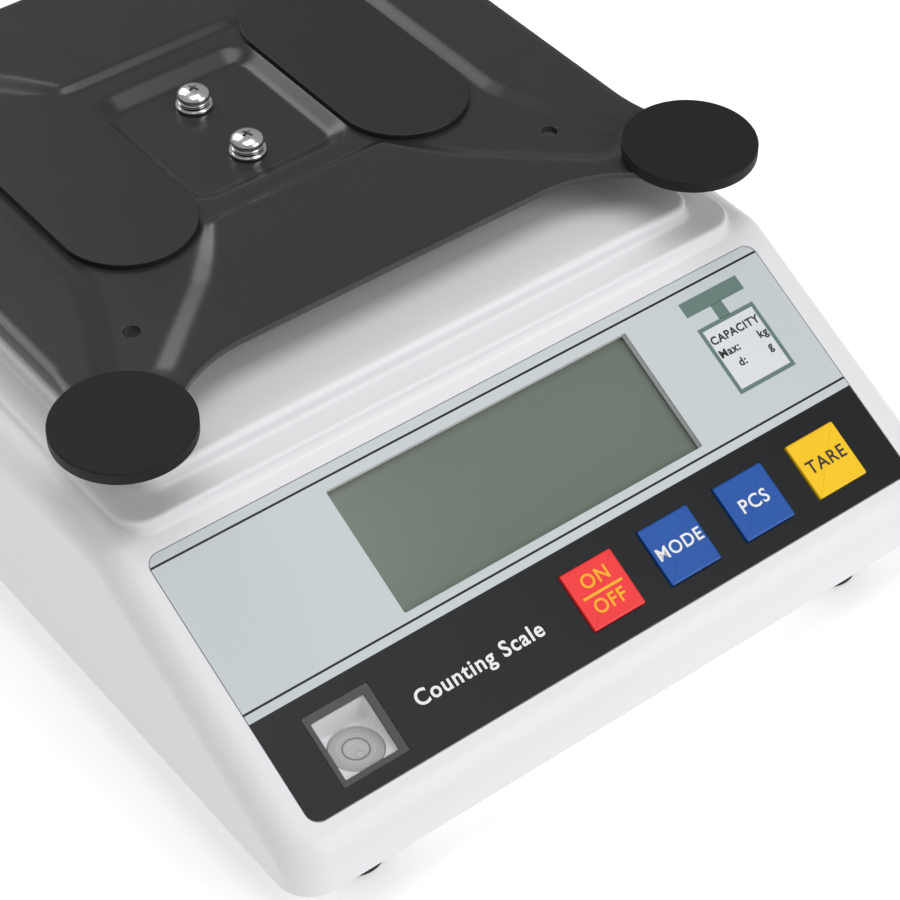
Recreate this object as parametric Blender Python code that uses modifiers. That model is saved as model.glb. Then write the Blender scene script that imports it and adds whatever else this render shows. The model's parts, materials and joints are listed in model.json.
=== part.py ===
"""Counting scale: a low moulded housing with a sloping control panel, on four levelling feet.

The weighing pan is off, so the stamped pan support shows. One object for each piece,
in metres, +Z up, origin on the table under the middle of the housing, front towards -Y.
"""

import math

import bmesh
import bpy
from mathutils import Matrix, Vector

MM = 0.001

# Housing, in millimetres
HALF_LENGTH = 157.0
HALF_WIDTH = 114.0
DRAFT = 1.8
EDGE_Z = 21.3
SHOULDER_Z = 74.5
EDGE_RADIUS = 9.0
NOSE_RADIUS = 7.0
NOSE_LEAN = 0.6
CORNER_RADIUS = 10.5
WALL = 2.5
GAP = 0.3

# Two steps on top: half width, front, back, height, corner radius, top edge radius
LEDGE = (103.2, -71.3, 146.5, 77.3, 9.0, 1.4)
PLATEAU = (93.6, -62.7, 137.7, 82.0, 7.0, 1.8)
PILLAR_OPENING = (46.0, 58.0)

# Sloping panel. Its u runs to the right and its v down the slope, from the upper line
PANEL_TILT = math.radians(27.4)
PANEL_Y = -79.0
PANEL_Z = 70.0
OVERLAY = (205.0, 79.7)
OVERLAY_V = 36.85
OVERLAY_RECESS = 0.7
OVERLAY_THICK = 0.4
SCREEN = (102.0, 38.2)
SCREEN_UV = (0.6, 22.4)
KEY = 17.6
KEY_V = 62.4
KEY_U = 0.8
KEY_PITCH = 26.9
KEY_PROUD = 0.9
KEY_NAMES = ("on_off", "mode", "pieces", "tare")
KEY_DEPTH = 3.4
FLANGE_LIP = 1.4
SWITCH = (6.2, 6.2, 3.4)
SWITCH_LOW = -8.2
KEY_BOARD = (96.0, 18.0, 1.6)
GLASS = (110.0, 45.0, 2.8)
GLASS_LOW = -5.7
HOLDER = (115.0, 50.0)
HOLDER_LOW = -10.6
MAIN_BOARD = (140.0, 52.0, 1.6)
BUZZER = (6.0, -19.0, (45.0, 30.0))

# Bubble level
LEVEL_U = -80.0
LEVEL_Y = -134.3
LEVEL_FRAME = 20.4
LEVEL_SIGHT = 16.6
POCKET = (19.8, 18.0)
SHELF_Z = 36.0
VIAL_RADIUS = 7.3

# Pan support: a stamped sheet with an X-shaped floor and a square recess in the middle
PAN_Y = 37.5
SHEET = 2.0
RAISED_Z = 96.5
FLOOR_Z = 94.7
RECESS_Z = 91.5
EDGE_X = 96.0
EDGE_Y = 83.7
EAR = (94.2, 95.3)
EAR_RADIUS = 12.4
EAR_HOLE = 2.8
FRONT_FLARE_X = 50.0
SIDE_FLARE_Y = 60.6
ARM_HOLE = (70.5, 62.1, 2.5)
RECESS_HALF = 28.5
RECESS_SLOPE = 6.0
FLOOR_SLOPE = 2.0
DISH_LIP = 0.2
DISC_RADIUS = 19.2
STEM_FLARE = (3.8, 2.6, 3.0)
DISC_TOP_Z = 100.6
PAD_X = 46.9
PAD_HALF = (19.8, 43.4)
PAD_THICK = 1.4

# Load cell and the screws above and below it
CELL = (30.0, 130.0, 22.0)
CELL_Z = 40.0
CELL_FRONT = 14.0
SCREW_SPACING = 27.2
FIXED_END_Y = 121.7
M5 = 2.5
M5_HOLE = 2.9
FLAT_WASHER = (5.4, 1.0)
SPRING_WASHER = (4.5, 1.2)
PAN_HEAD = [(0, 3.4), (2.4, 3.2), (4.2, 2.2), (4.9, 0.6), (4.9, 0.0), (M5, 0.0)]
PAN_SCREW = 24.0
CELL_SCREW = [(4.7, 17.2), (4.7, 15.4), (4.0, 14.4), (0, 14.4)]
CELL_SCREW_TOP = 52.0
HOUSING_SCREW = [(1.5, 17.2), (3.6, 17.2), (3.6, 16.0), (2.8, 15.2), (0, 15.2)]
HOUSING_SCREW_TOP = 33.0
CELL_EYE = (7.5, 9.0)
LEAD_RADIUS = 1.6
LEAD_ROUTE = (
    (15.6, 108, 50),
    (22, 108, 49),
    (30, 98, 44),
    (33, 70, 38),
    (34, 30, 34),
    (34, -10, 32),
    (33, -40, 33),
    (30, -62, 38),
    (28, -74, 42),
)

# Base, feet, batteries, socket
BASE_Z = 17.5
BASE_TOP = 20.0
FOOT = (84.0, 137.0)
PAD_TOP = 7.0
KNOB_TOP = 14.7
SOLE_RADIUS = 8.6
KNOB_RADIUS = 10.0
BOSS = (11.0, 15.0, 23.0)
STUD = (3.0, 22.5)
POST = (96.0, 118.0, 4.5)
BATTERY = (-51.0, 60.0)
BATTERY_WELL = (62.0, 54.0)
CELL_AA = (7.1, 50.4, 15.0, 26.5)
DOOR = (68.0, 60.0)
DOOR_Z = (15.4, 17.2)
RAIL = (2.0, 26.0, 5.0)
RAIL_LIP = (3.4, 26.0, 1.8)
RAIL_LOW = 13.2
SOCKET = (60.0, 45.0)

SLOPE = Vector((0, math.cos(PANEL_TILT), math.sin(PANEL_TILT)))
NORMAL = Vector((0, -math.sin(PANEL_TILT), math.cos(PANEL_TILT)))


# ---------------------------------------------------------------- scene and materials


def clear_scene():
    for old in list(bpy.data.objects):
        bpy.data.objects.remove(old, do_unlink=True)


def collection(name, hidden):
    made = bpy.data.collections.new(name)
    bpy.context.scene.collection.children.link(made)
    made.hide_render = hidden
    return made


def material(name, colour, roughness, metallic=0.0, transmission=0.0):
    made = bpy.data.materials.new(name)
    made.use_nodes = True
    shader = made.node_tree.nodes["Principled BSDF"]
    shader.inputs["Base Color"].default_value = (*colour, 1.0)
    shader.inputs["Roughness"].default_value = roughness
    shader.inputs["Metallic"].default_value = metallic
    shader.inputs["Transmission Weight"].default_value = transmission
    return made


clear_scene()
PARTS = collection("counting_scale", hidden=False)
CUTTERS = collection("cutters", hidden=True)
FINISH = {
    "white_abs": material("white_abs", (0.82, 0.82, 0.84), 0.42),
    "base_abs": material("base_abs", (0.80, 0.80, 0.81), 0.5),
    "overlay_film": material("overlay_film", (0.62, 0.67, 0.68), 0.4),
    "screen_glass": material("screen_glass", (0.17, 0.21, 0.17), 0.25),
    "holder_abs": material("holder_abs", (0.75, 0.75, 0.75), 0.5),
    "board": material("board", (0.02, 0.16, 0.06), 0.5),
    "black_plastic": material("black_plastic", (0.03, 0.03, 0.03), 0.5),
    "red_key": material("red_key", (0.85, 0.03, 0.03), 0.4),
    "blue_key": material("blue_key", (0.01, 0.08, 0.43), 0.4),
    "yellow_key": material("yellow_key", (1.0, 0.6, 0.0), 0.4),
    "grey_frame": material("grey_frame", (0.10, 0.11, 0.11), 0.45),
    "clear_plastic": material("clear_plastic", (0.9, 0.92, 0.92), 0.08, transmission=0.9),
    "aluminium": material("aluminium", (0.75, 0.76, 0.77), 0.35, 1.0),
    "black_paint": material("black_paint", (0.045, 0.045, 0.045), 0.42),
    "black_rubber": material("black_rubber", (0.02, 0.02, 0.02), 0.75),
    "zinc_steel": material("zinc_steel", (0.78, 0.79, 0.80), 0.22, 1.0),
    "battery_wrap": material("battery_wrap", (0.08, 0.22, 0.16), 0.4),
    "lead_jacket": material("lead_jacket", (0.35, 0.35, 0.36), 0.55),
}


# ---------------------------------------------------------------- mesh helpers, in mm


def to_mesh(name, bm):
    mesh = bpy.data.meshes.new(name)
    bmesh.ops.scale(bm, vec=(MM, MM, MM), verts=bm.verts)
    bm.to_mesh(mesh)
    bm.free()
    return mesh


def put(name, mesh, finish=None, at=(0, 0, 0), tilt=0.0):
    """A piece, or a cutter where there is no finish, with its origin at a point in mm."""
    made = bpy.data.objects.new(name, mesh)
    made.location = Vector(at) * MM
    made.rotation_euler = (tilt, 0, 0)
    if finish:
        PARTS.objects.link(made)
        mesh.materials.append(FINISH[finish])
        mesh.shade_smooth()
        mesh.set_sharp_from_angle(angle=math.radians(35))
    else:
        CUTTERS.objects.link(made)
        made.hide_render = True
        made.display_type = "WIRE"
    return made


def combine(target, other, operation="DIFFERENCE"):
    step = target.modifiers.new(other.name, "BOOLEAN")
    step.operation = operation
    step.object = other
    step.solver = "EXACT"


def block(name, size, low_z, centre=(0, 0), corner=0.0, segments=3):
    """A box from low_z up, with its upright edges rounded."""
    bm = bmesh.new()
    bmesh.ops.create_cube(bm, size=1.0)
    bmesh.ops.scale(bm, vec=size, verts=bm.verts)
    shift = (centre[0], centre[1], low_z + size[2] / 2)
    bmesh.ops.translate(bm, vec=shift, verts=bm.verts)
    if corner:
        upright = [e for e in bm.edges if abs((e.verts[0].co - e.verts[1].co).z) > 0.1]
        bmesh.ops.bevel(
            bm, geom=upright, offset=corner, segments=segments, profile=0.5, affect="EDGES"
        )
    return to_mesh(name, bm)


def rod(name, radius, low, high, centre=(0, 0), sides=24, along="Z"):
    """A cylinder from low to high along Z, or lying along X or Y at that centre."""
    bm = bmesh.new()
    bmesh.ops.create_cone(
        bm, cap_ends=True, segments=sides, radius1=radius, radius2=radius, depth=high - low
    )
    bmesh.ops.translate(bm, vec=(0, 0, (low + high) / 2), verts=bm.verts)
    if along != "Z":
        turn = Matrix.Rotation(math.radians(90), 3, "Y" if along == "X" else "X")
        if along == "Y":
            turn = turn.inverted()
        bmesh.ops.rotate(bm, matrix=turn, verts=bm.verts)
        shift = (0, *centre) if along == "X" else (centre[0], 0, centre[1])
    else:
        shift = (*centre, 0)
    bmesh.ops.translate(bm, vec=shift, verts=bm.verts)
    return to_mesh(name, bm)


def filled(outlines, low, high):
    """A bmesh prism in mm from flat outlines, where those inside another are holes."""
    curve = bpy.data.curves.new("outline", "CURVE")
    curve.dimensions = "2D"
    curve.fill_mode = "BOTH"
    curve.extrude = (high - low) / 2
    for outline in outlines:
        spline = curve.splines.new("POLY")
        spline.points.add(len(outline) - 1)
        spline.use_cyclic_u = True
        for point, (x, y) in zip(spline.points, outline):
            point.co = (x, y, 0, 1)
    guide = bpy.data.objects.new("outline", curve)
    CUTTERS.objects.link(guide)
    guide.hide_render = True
    bpy.context.view_layer.update()
    graph = bpy.context.evaluated_depsgraph_get()
    mesh = bpy.data.meshes.new_from_object(guide.evaluated_get(graph))
    bpy.data.objects.remove(guide, do_unlink=True)
    bm = bmesh.new()
    bm.from_mesh(mesh)
    bmesh.ops.remove_doubles(bm, verts=bm.verts, dist=0.001)
    bmesh.ops.recalc_face_normals(bm, faces=bm.faces)
    bmesh.ops.translate(bm, vec=(0, 0, (low + high) / 2), verts=bm.verts)
    return bm


def prism(name, outlines, low, high):
    return to_mesh(name, filled(outlines, low, high))


def arc(centre, radius, start, end, steps):
    """Points on an arc, with its angles in degrees."""
    turns = [math.radians(start + (end - start) * i / steps) for i in range(steps + 1)]
    return [(centre[0] + radius * math.cos(t), centre[1] + radius * math.sin(t)) for t in turns]


def rounded(corners, steps=4):
    """A closed outline from (x, y, radius) corners."""
    points = []
    for i, (x, y, radius) in enumerate(corners):
        here = Vector((x, y))
        before = Vector(corners[i - 1][:2]) - here
        after = Vector(corners[(i + 1) % len(corners)][:2]) - here
        half = before.angle(after) / 2
        middle = here + (before.normalized() + after.normalized()).normalized() * (
            radius / math.sin(half)
        )
        first = here + before.normalized() * (radius / math.tan(half)) - middle
        last = here + after.normalized() * (radius / math.tan(half)) - middle
        for k in range(steps + 1):
            spoke = first.slerp(last, k / steps).normalized() * radius if radius else first
            points.append(tuple(middle + spoke))
            if not radius:
                break
    return points


def rectangle(width, height, radius, centre=(0, 0), steps=4):
    x, y = width / 2, height / 2
    corners = [(-x, -y), (x, -y), (x, y), (-x, y)]
    return rounded([(a + centre[0], b + centre[1], radius) for a, b in corners], steps)


def turned(name, profile, finish, at, sides=24, closed=False):
    """A profile of (radius, height) points, run down its outer side, turned about Z."""
    bm = bmesh.new()
    verts = [bm.verts.new((r, 0, z)) for r, z in profile]
    for a, b in zip(verts, verts[1:]):
        bm.edges.new((a, b))
    if closed:
        bm.edges.new((verts[-1], verts[0]))
    made = put(name, to_mesh(name, bm), finish, at)
    screw = made.modifiers.new("turn", "SCREW")
    screw.axis = "Z"
    screw.steps = sides
    screw.render_steps = sides
    screw.use_merge_vertices = True
    screw.merge_threshold = 0.00001
    screw.use_smooth_shade = True
    return made


def panel_point(u, v, out=0.0):
    """The point in mm at u, v on the sloping panel, raised by out along its normal."""
    return Vector((u, PANEL_Y, PANEL_Z)) - SLOPE * v + NORMAL * out


def on_panel(name, mesh, finish, u, v, out=0.0):
    """A piece modelled flat, laid on the panel with its local Y up the slope."""
    return put(name, mesh, finish, panel_point(u, v, out), PANEL_TILT)


# ---------------------------------------------------------------- housing


def ball_centre(radius, y=None, z=None):
    """The (y, z) of a ball that touches the panel's plane from below, from one of the two."""
    sine, cosine = math.sin(PANEL_TILT), math.cos(PANEL_TILT)
    if y is None:
        return PANEL_Y + ((z - PANEL_Z) * cosine + radius) / sine, z
    return y, PANEL_Z + ((y - PANEL_Y) * sine - radius) / cosine


def side_body(name, inset):
    """The housing without its steps: the hull of its round edges, all drawn in by the inset."""
    tilt = 90 + math.degrees(PANEL_TILT)
    top = SHOULDER_Z - EDGE_RADIUS
    nose = ball_centre(NOSE_RADIUS, y=-HALF_LENGTH + NOSE_LEAN + NOSE_RADIUS)
    brow = ball_centre(EDGE_RADIUS, z=top)
    rear = (HALF_LENGTH - DRAFT - EDGE_RADIUS, top)
    edges = (
        (rear, EDGE_RADIUS, 0, 90),
        (brow, EDGE_RADIUS, 90, tilt),
        (nose, NOSE_RADIUS, tilt, 180),
    )
    bm = bmesh.new()
    for (y, z), radius, start, end in edges:
        half = HALF_WIDTH - DRAFT * (z - EDGE_Z) / (top - EDGE_Z) - radius
        for step in range(4):
            turn = math.radians(90 * step / 3)
            ring = (radius - inset) * math.cos(turn)
            reach = half + (radius - inset) * math.sin(turn)
            for a, b in arc((y, z), ring, start, end, 4):
                bm.verts.new((reach, a, b))
                bm.verts.new((-reach, a, b))
    foot_z = EDGE_Z if not inset else 2.0
    outline = rectangle(
        2 * (HALF_WIDTH - inset), 2 * (HALF_LENGTH - inset), CORNER_RADIUS - inset
    )
    for x, y in outline:
        bm.verts.new((x, y, foot_z))
    hull = bmesh.ops.convex_hull(bm, input=bm.verts)
    spare = {v for v in hull["geom_interior"] + hull["geom_unused"] if v in bm.verts[:]}
    bmesh.ops.delete(bm, geom=list(spare), context="VERTS")
    bmesh.ops.recalc_face_normals(bm, faces=bm.faces)
    bmesh.ops.dissolve_limit(
        bm, angle_limit=math.radians(0.2), verts=bm.verts, edges=bm.edges
    )
    return to_mesh(name, bm)


def step_block(name, step, inset):
    """One of the two flat steps on top, from below the shoulder to its own height."""
    half, front, back, top, corner, edge = step
    outline = rectangle(
        2 * (half - inset),
        back - front - 2 * inset,
        corner - inset / 2,
        (0, (front + back) / 2),
    )
    low = SHOULDER_Z - 8.0 - inset
    bm = filled([outline], low, top - inset)
    if not inset:
        rim = [e for e in bm.edges if min(v.co.z for v in e.verts) > top - 0.01]
        rim = [e for e in rim if e.calc_face_angle(0.0) > 1.0]
        bmesh.ops.bevel(bm, geom=rim, offset=edge, segments=2, profile=0.5, affect="EDGES")
    return put(name, to_mesh(name, bm))


def build_housing():
    housing = put("top_housing", side_body("top_housing", 0.0), "white_abs")
    for name, step in (("ledge", LEDGE), ("plateau", PLATEAU)):
        combine(housing, step_block(name, step, 0.0), "UNION")
    combine(housing, put("cavity", side_body("cavity", WALL)))
    for name, step in (("ledge_cavity", LEDGE), ("plateau_cavity", PLATEAU)):
        combine(housing, step_block(name, step, WALL))
    recess = prism(
        "overlay_recess",
        [rectangle(OVERLAY[0] + 2 * GAP, OVERLAY[1] + 2 * GAP, 3.8)],
        -OVERLAY_RECESS,
        3.0,
    )
    combine(housing, on_panel("overlay_recess", recess, None, 0, OVERLAY_V))
    screen = block("screen_opening", (*SCREEN, 12.0), -6.0)
    combine(housing, on_panel("screen_opening", screen, None, *SCREEN_UV))
    for i, name in enumerate(KEY_NAMES):
        hole = block(name + "_opening", (KEY + GAP, KEY + GAP, 12.0), -6.0)
        u = KEY_U + i * KEY_PITCH
        combine(housing, on_panel(name + "_opening", hole, None, u, KEY_V))
    level = block("level_opening", (POCKET[0] + 0.8, POCKET[1] + 0.8, 40.0), 24.0)
    combine(housing, put("level_opening", level, at=(LEVEL_U, LEVEL_Y, 0)))
    well = block("pillar_opening", (*PILLAR_OPENING, 30.0), 65.0, corner=4.0)
    combine(housing, put("pillar_opening", well, at=(0, PAN_Y, 0)))
    jack = rod("socket_opening", 5.6, 130.0, 170.0, along="Y")
    combine(housing, put("socket_opening", jack, at=(SOCKET[0], 0, SOCKET[1])))
    posts = []
    for side in (-1, 1):
        for end, ceiling in ((-1, 46.0), (1, 76.0)):
            place = (side * POST[0], end * POST[1])
            tag = f"{'left' if side < 0 else 'right'}_{'front' if end < 0 else 'rear'}"
            post = rod("post_" + tag, POST[2], BASE_TOP + GAP, ceiling, place, 16)
            combine(housing, put("post_" + tag, post), "UNION")
            posts.append((tag, place))
    for tag, place in posts:
        bore = rod("post_bore_" + tag, 1.8, 10.0, 35.0, place, 12)
        combine(housing, put("post_bore_" + tag, bore))


def build_base():
    """The lower tray: floor, rim, foot bosses, battery well and door rails."""
    length, width = 2 * (HALF_LENGTH - WALL - 1.5), 2 * (HALF_WIDTH - WALL - 1.1)
    outer = rectangle(width, length, 9.5)
    inner = rectangle(width - 3.6, length - 3.6, 7.7)
    well = rectangle(*BATTERY_WELL, 1.0, BATTERY, 1)
    base = put("base_plate", prism("base_plate", [outer, well], BASE_Z, BASE_TOP), "base_abs")
    rim = prism("rim", [outer, inner], BASE_TOP - 1.0, BASE_TOP + 5.0)
    combine(base, put("rim", rim), "UNION")
    for i, (x, y) in enumerate(foot_places()):
        boss = rod(f"boss_{i}", BOSS[0], BOSS[1], BOSS[2], (x, y), 20)
        combine(base, put(f"boss_{i}", boss), "UNION")
        bore = rod(f"stud_bore_{i}", STUD[0] + 0.4, 5.0, 30.0, (x, y), 16)
        combine(base, put(f"stud_bore_{i}", bore))
    for i, side in enumerate((-1, 1)):
        x = BATTERY[0] + side * (DOOR[0] / 2 + 1.4)
        wall = block(f"rail_{i}", RAIL, RAIL_LOW, (x, BATTERY[1] - 12.0))
        combine(base, put(f"rail_{i}", wall), "UNION")
        x -= side * 1.5
        lip = block(f"rail_lip_{i}", RAIL_LIP, RAIL_LOW, (x, BATTERY[1] - 12.0))
        combine(base, put(f"rail_lip_{i}", lip), "UNION")
    for x, y, radius in screw_holes():
        bore = rod(f"base_bore_{x:.0f}_{y:.0f}", radius, 10.0, 30.0, (x, y), 16)
        combine(base, put(f"base_bore_{x:.0f}_{y:.0f}", bore))


def foot_places():
    return [(x, y) for y in (-FOOT[1], FOOT[1]) for x in (-FOOT[0], FOOT[0])]


def screw_holes():
    posts = [(x * POST[0], y * POST[1], 1.9) for y in (-1, 1) for x in (-1, 1)]
    cell = [(0, FIXED_END_Y + s * SCREW_SPACING / 2, M5_HOLE) for s in (-1, 1)]
    return posts + cell


# ---------------------------------------------------------------- control panel


def build_overlay():
    """The printed film, with its holes placed from its own middle."""
    holes = [rectangle(*SCREEN, 0.6, (SCREEN_UV[0], OVERLAY_V - SCREEN_UV[1]), 1)]
    for i in range(len(KEY_NAMES)):
        middle = (KEY_U + i * KEY_PITCH, OVERLAY_V - KEY_V)
        holes.append(rectangle(KEY + GAP, KEY + GAP, 0.5, middle, 1))
    middle = (LEVEL_U, OVERLAY_V - level_v())
    holes.append(rectangle(LEVEL_FRAME + GAP, LEVEL_FRAME + GAP, 0.3, middle, 1))
    film = prism(
        "panel_overlay",
        [rectangle(*OVERLAY, 3.5), *holes],
        -OVERLAY_RECESS + GAP,
        -OVERLAY_RECESS + GAP + OVERLAY_THICK,
    )
    on_panel("panel_overlay", film, "overlay_film", 0, OVERLAY_V)


def level_v():
    """The v of the level window's middle, straight above the vial."""
    return (PANEL_Y - LEVEL_Y) / math.cos(PANEL_TILT)


def build_keys():
    finishes = ("red_key", "blue_key", "blue_key", "yellow_key")
    for i, (name, finish) in enumerate(zip(KEY_NAMES, finishes)):
        u = KEY_U + i * KEY_PITCH
        cap = block(name + "_key", (KEY - GAP, KEY - GAP, KEY_PROUD + KEY_DEPTH), -KEY_DEPTH, corner=0.8)
        key = on_panel(name + "_key", cap, finish, u, KEY_V)
        width = KEY + 2 * FLANGE_LIP
        flange = block(name + "_flange", (width, width, 1.0), -KEY_DEPTH - 0.4)
        combine(key, on_panel(name + "_flange", flange, None, u, KEY_V), "UNION")
        body = block(name + "_switch", SWITCH, SWITCH_LOW)
        switch = on_panel(name + "_switch", body, "black_plastic", u, KEY_V)
        top = SWITCH_LOW + SWITCH[2]
        button = rod(name + "_button", 1.7, top - 0.2, top + GAP, sides=12)
        combine(switch, on_panel(name + "_button", button, None, u, KEY_V), "UNION")
    middle = KEY_U + 1.5 * KEY_PITCH
    low = SWITCH_LOW - GAP - KEY_BOARD[2]
    board = block("key_board", KEY_BOARD, low, corner=1.0, segments=1)
    on_panel("key_board", board, "board", middle, KEY_V)


def build_screen():
    glass = block("lcd_glass", GLASS, GLASS_LOW)
    on_panel("lcd_glass", glass, "screen_glass", *SCREEN_UV)
    outer = rectangle(*HOLDER, 1.0, steps=1)
    inner = rectangle(GLASS[0] + 0.8, GLASS[1] + 0.8, 0.5, steps=1)
    holder = prism("lcd_holder", [outer, inner], HOLDER_LOW, GLASS_LOW + GLASS[2])
    on_panel("lcd_holder", holder, "holder_abs", *SCREEN_UV)
    low = HOLDER_LOW - 0.4 - MAIN_BOARD[2]
    board = block("main_board", MAIN_BOARD, low, corner=1.0, segments=1)
    on_panel("main_board", board, "board", *SCREEN_UV)
    radius, bottom, place = BUZZER
    buzzer = rod("buzzer", radius, bottom, low - GAP, sides=20)
    on_panel("buzzer", buzzer, "black_plastic", *place)


def build_level():
    """A white pocket under a framed window, with a round vial let into its shelf."""
    place = (LEVEL_U, LEVEL_Y, 0)
    walls = block("level_pocket", (*POCKET, 24.0), SHELF_Z - 2.0)
    pocket = put("level_pocket", walls, "white_abs", place)
    inside = block("pocket_inside", (POCKET[0] - 3.0, POCKET[1] - 3.0, 30.0), SHELF_Z)
    combine(pocket, put("pocket_inside", inside, at=place))
    hole = rod("vial_hole", VIAL_RADIUS + GAP, 20.0, 45.0)
    combine(pocket, put("vial_hole", hole, at=place))
    above = block("above_panel", (60.0, 60.0, 60.0), -OVERLAY_RECESS - 0.2)
    combine(pocket, on_panel("above_panel", above, None, LEVEL_U, level_v()))
    top, low = SHELF_Z - 0.2, SHELF_Z - 8.5
    vial = [(0, top), (VIAL_RADIUS - 0.5, top), (VIAL_RADIUS, top - 0.5), (VIAL_RADIUS, low)]
    turned("level_vial", [*vial, (0, low)], "clear_plastic", place)
    ring = [rectangle(LEVEL_FRAME, LEVEL_FRAME, 0.3, steps=1)]
    ring.append(rectangle(LEVEL_SIGHT, LEVEL_SIGHT, 0.2, steps=1))
    frame = prism("level_frame", ring, -0.6, 0.0)
    on_panel("level_frame", frame, "grey_frame", LEVEL_U, level_v())
    pane = block("level_window", (LEVEL_SIGHT - 0.4, LEVEL_SIGHT - 0.4, 0.5), -0.6)
    on_panel("level_window", pane, "clear_plastic", LEVEL_U, level_v())


# ---------------------------------------------------------------- pan support


def flare_radius(along, beyond):
    """The radius of the hollow arc from a straight edge to the ear's round end."""
    reach = along**2 + beyond**2 - EAR_RADIUS**2
    return reach / (2 * (EAR_RADIUS + beyond))


def corner_outline():
    """The sheet's outline round its front right ear, from the front edge to the right one."""
    front = flare_radius(EAR[0] - FRONT_FLARE_X, EAR[1] - EDGE_Y)
    side = flare_radius(EAR[1] - SIDE_FLARE_Y, EAR[0] - EDGE_X)
    lower = Vector((FRONT_FLARE_X, -EDGE_Y - front))
    outer = Vector((EDGE_X + side, -SIDE_FLARE_Y))
    ear = Vector((EAR[0], -EAR[1]))
    turn_in = math.degrees(math.atan2(*(ear - lower).yx))
    turn_out = math.degrees(math.atan2(*(outer - ear).yx))
    return (
        arc(lower, front, 90, turn_in, 6)
        + arc(ear, EAR_RADIUS, turn_in - 180, turn_out, 12)[1:]
        + arc(outer, side, turn_out + 180, 180, 6)[1:]
    )


def sheet_outline():
    quarter = corner_outline()
    front_half = quarter + [(x, -y) for x, y in reversed(quarter)]
    return front_half + [(-x, -y) for x, y in front_half]


def floor_outline():
    """The X-shaped floor at the level of the raised flats."""
    quarter = [
        (30.6, -38.6, 2.0),
        (79.0, -83.2, 5.5),
        (89.0, -73.0, 5.5),
        (70.4, -37.5, 3.0),
    ]
    right = quarter + [(x, -y, r) for x, y, r in reversed(quarter)]
    return rounded(right + [(-x, -y, r) for x, y, r in right], 3)


def dished(name, outline, rim_z, low_z, slope):
    """A solid that fills a stamped dish: upright above its rim, sloping in below it."""
    bm = filled([outline], rim_z - DISH_LIP, rim_z + 3.0)
    bmesh.ops.dissolve_limit(bm, angle_limit=0.01, verts=bm.verts, edges=bm.edges)
    under = [f for f in bm.faces if f.normal.z < -0.9]
    depth = rim_z - low_z - DISH_LIP
    bmesh.ops.inset_region(bm, faces=under, thickness=slope, depth=depth, use_even_offset=True)
    return put(name, to_mesh(name, bm))


def centred(mesh_object):
    mesh_object.location.y = PAN_Y * MM
    return mesh_object


def build_pan_support():
    sheet = prism("pan_support", [sheet_outline()], RAISED_Z - SHEET, RAISED_Z)
    support = put("pan_support", sheet, "black_paint", (0, PAN_Y, 0))
    square = rectangle(2 * RECESS_HALF, 2 * RECESS_HALF, 5.0, steps=2)
    under = RAISED_Z - SHEET + 0.4
    dishes = (
        ("floor_under", floor_outline(), under, FLOOR_Z - SHEET, 1.6, "UNION"),
        ("recess_under", square, FLOOR_Z - SHEET + 0.4, RECESS_Z - SHEET, 5.0, "UNION"),
        ("floor_dish", floor_outline(), RAISED_Z, FLOOR_Z, FLOOR_SLOPE, "DIFFERENCE"),
        ("recess_dish", square, FLOOR_Z, RECESS_Z, RECESS_SLOPE, "DIFFERENCE"),
    )
    for name, outline, rim, low, slope, operation in dishes:
        combine(support, centred(dished(name, outline, rim, low, slope)), operation)
    for x, y in corner_signs():
        hole = rod(f"arm_hole_{x}_{y}", ARM_HOLE[2], 85.0, 99.0, sides=16)
        place = (x * ARM_HOLE[0], PAN_Y + y * ARM_HOLE[1], 0)
        combine(support, put(f"arm_hole_{x}_{y}", hole, at=place))
        hole = rod(f"ear_hole_{x}_{y}", EAR_HOLE, 85.0, 99.0, sides=16)
        place = (x * EAR[0], PAN_Y + y * EAR[1], 0)
        combine(support, put(f"ear_hole_{x}_{y}", hole, at=place))
    for y in (-1, 1):
        hole = rod(f"pan_hole_{y}", M5_HOLE, 80.0, 99.0, sides=16)
        place = (0, PAN_Y + y * SCREW_SPACING / 2, 0)
        combine(support, put(f"pan_hole_{y}", hole, at=place))


def corner_signs():
    return [(x, y) for y in (-1, 1) for x in (-1, 1)]


def corner_name(x, y):
    return f"{'front' if y < 0 else 'rear'}_{'left' if x < 0 else 'right'}"


def build_discs_and_pads():
    low = RAISED_Z + GAP
    under = RAISED_Z - SHEET
    profile = [
        (0, DISC_TOP_Z),
        (DISC_RADIUS - 0.4, DISC_TOP_Z),
        (DISC_RADIUS, DISC_TOP_Z - 0.4),
        (DISC_RADIUS, low),
        (EAR_HOLE - GAP, low),
        (EAR_HOLE - GAP, under - GAP),
        (STEM_FLARE[0], under - GAP),
        (STEM_FLARE[1], under - STEM_FLARE[2]),
        (0, under - STEM_FLARE[2]),
    ]
    for x, y in corner_signs():
        place = (x * EAR[0], PAN_Y + y * EAR[1], 0)
        turned("support_disc_" + corner_name(x, y), profile, "black_rubber", place, 32)
    for side, name in ((-1, "pad_left"), (1, "pad_right")):
        outline = rectangle(2 * PAD_HALF[0], 2 * PAD_HALF[1], PAD_HALF[0] - 0.05, steps=8)
        pad = prism(name, [outline], FLOOR_Z + GAP, FLOOR_Z + GAP + PAD_THICK)
        put(name, pad, "black_rubber", (side * PAD_X, PAN_Y, 0))


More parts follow.
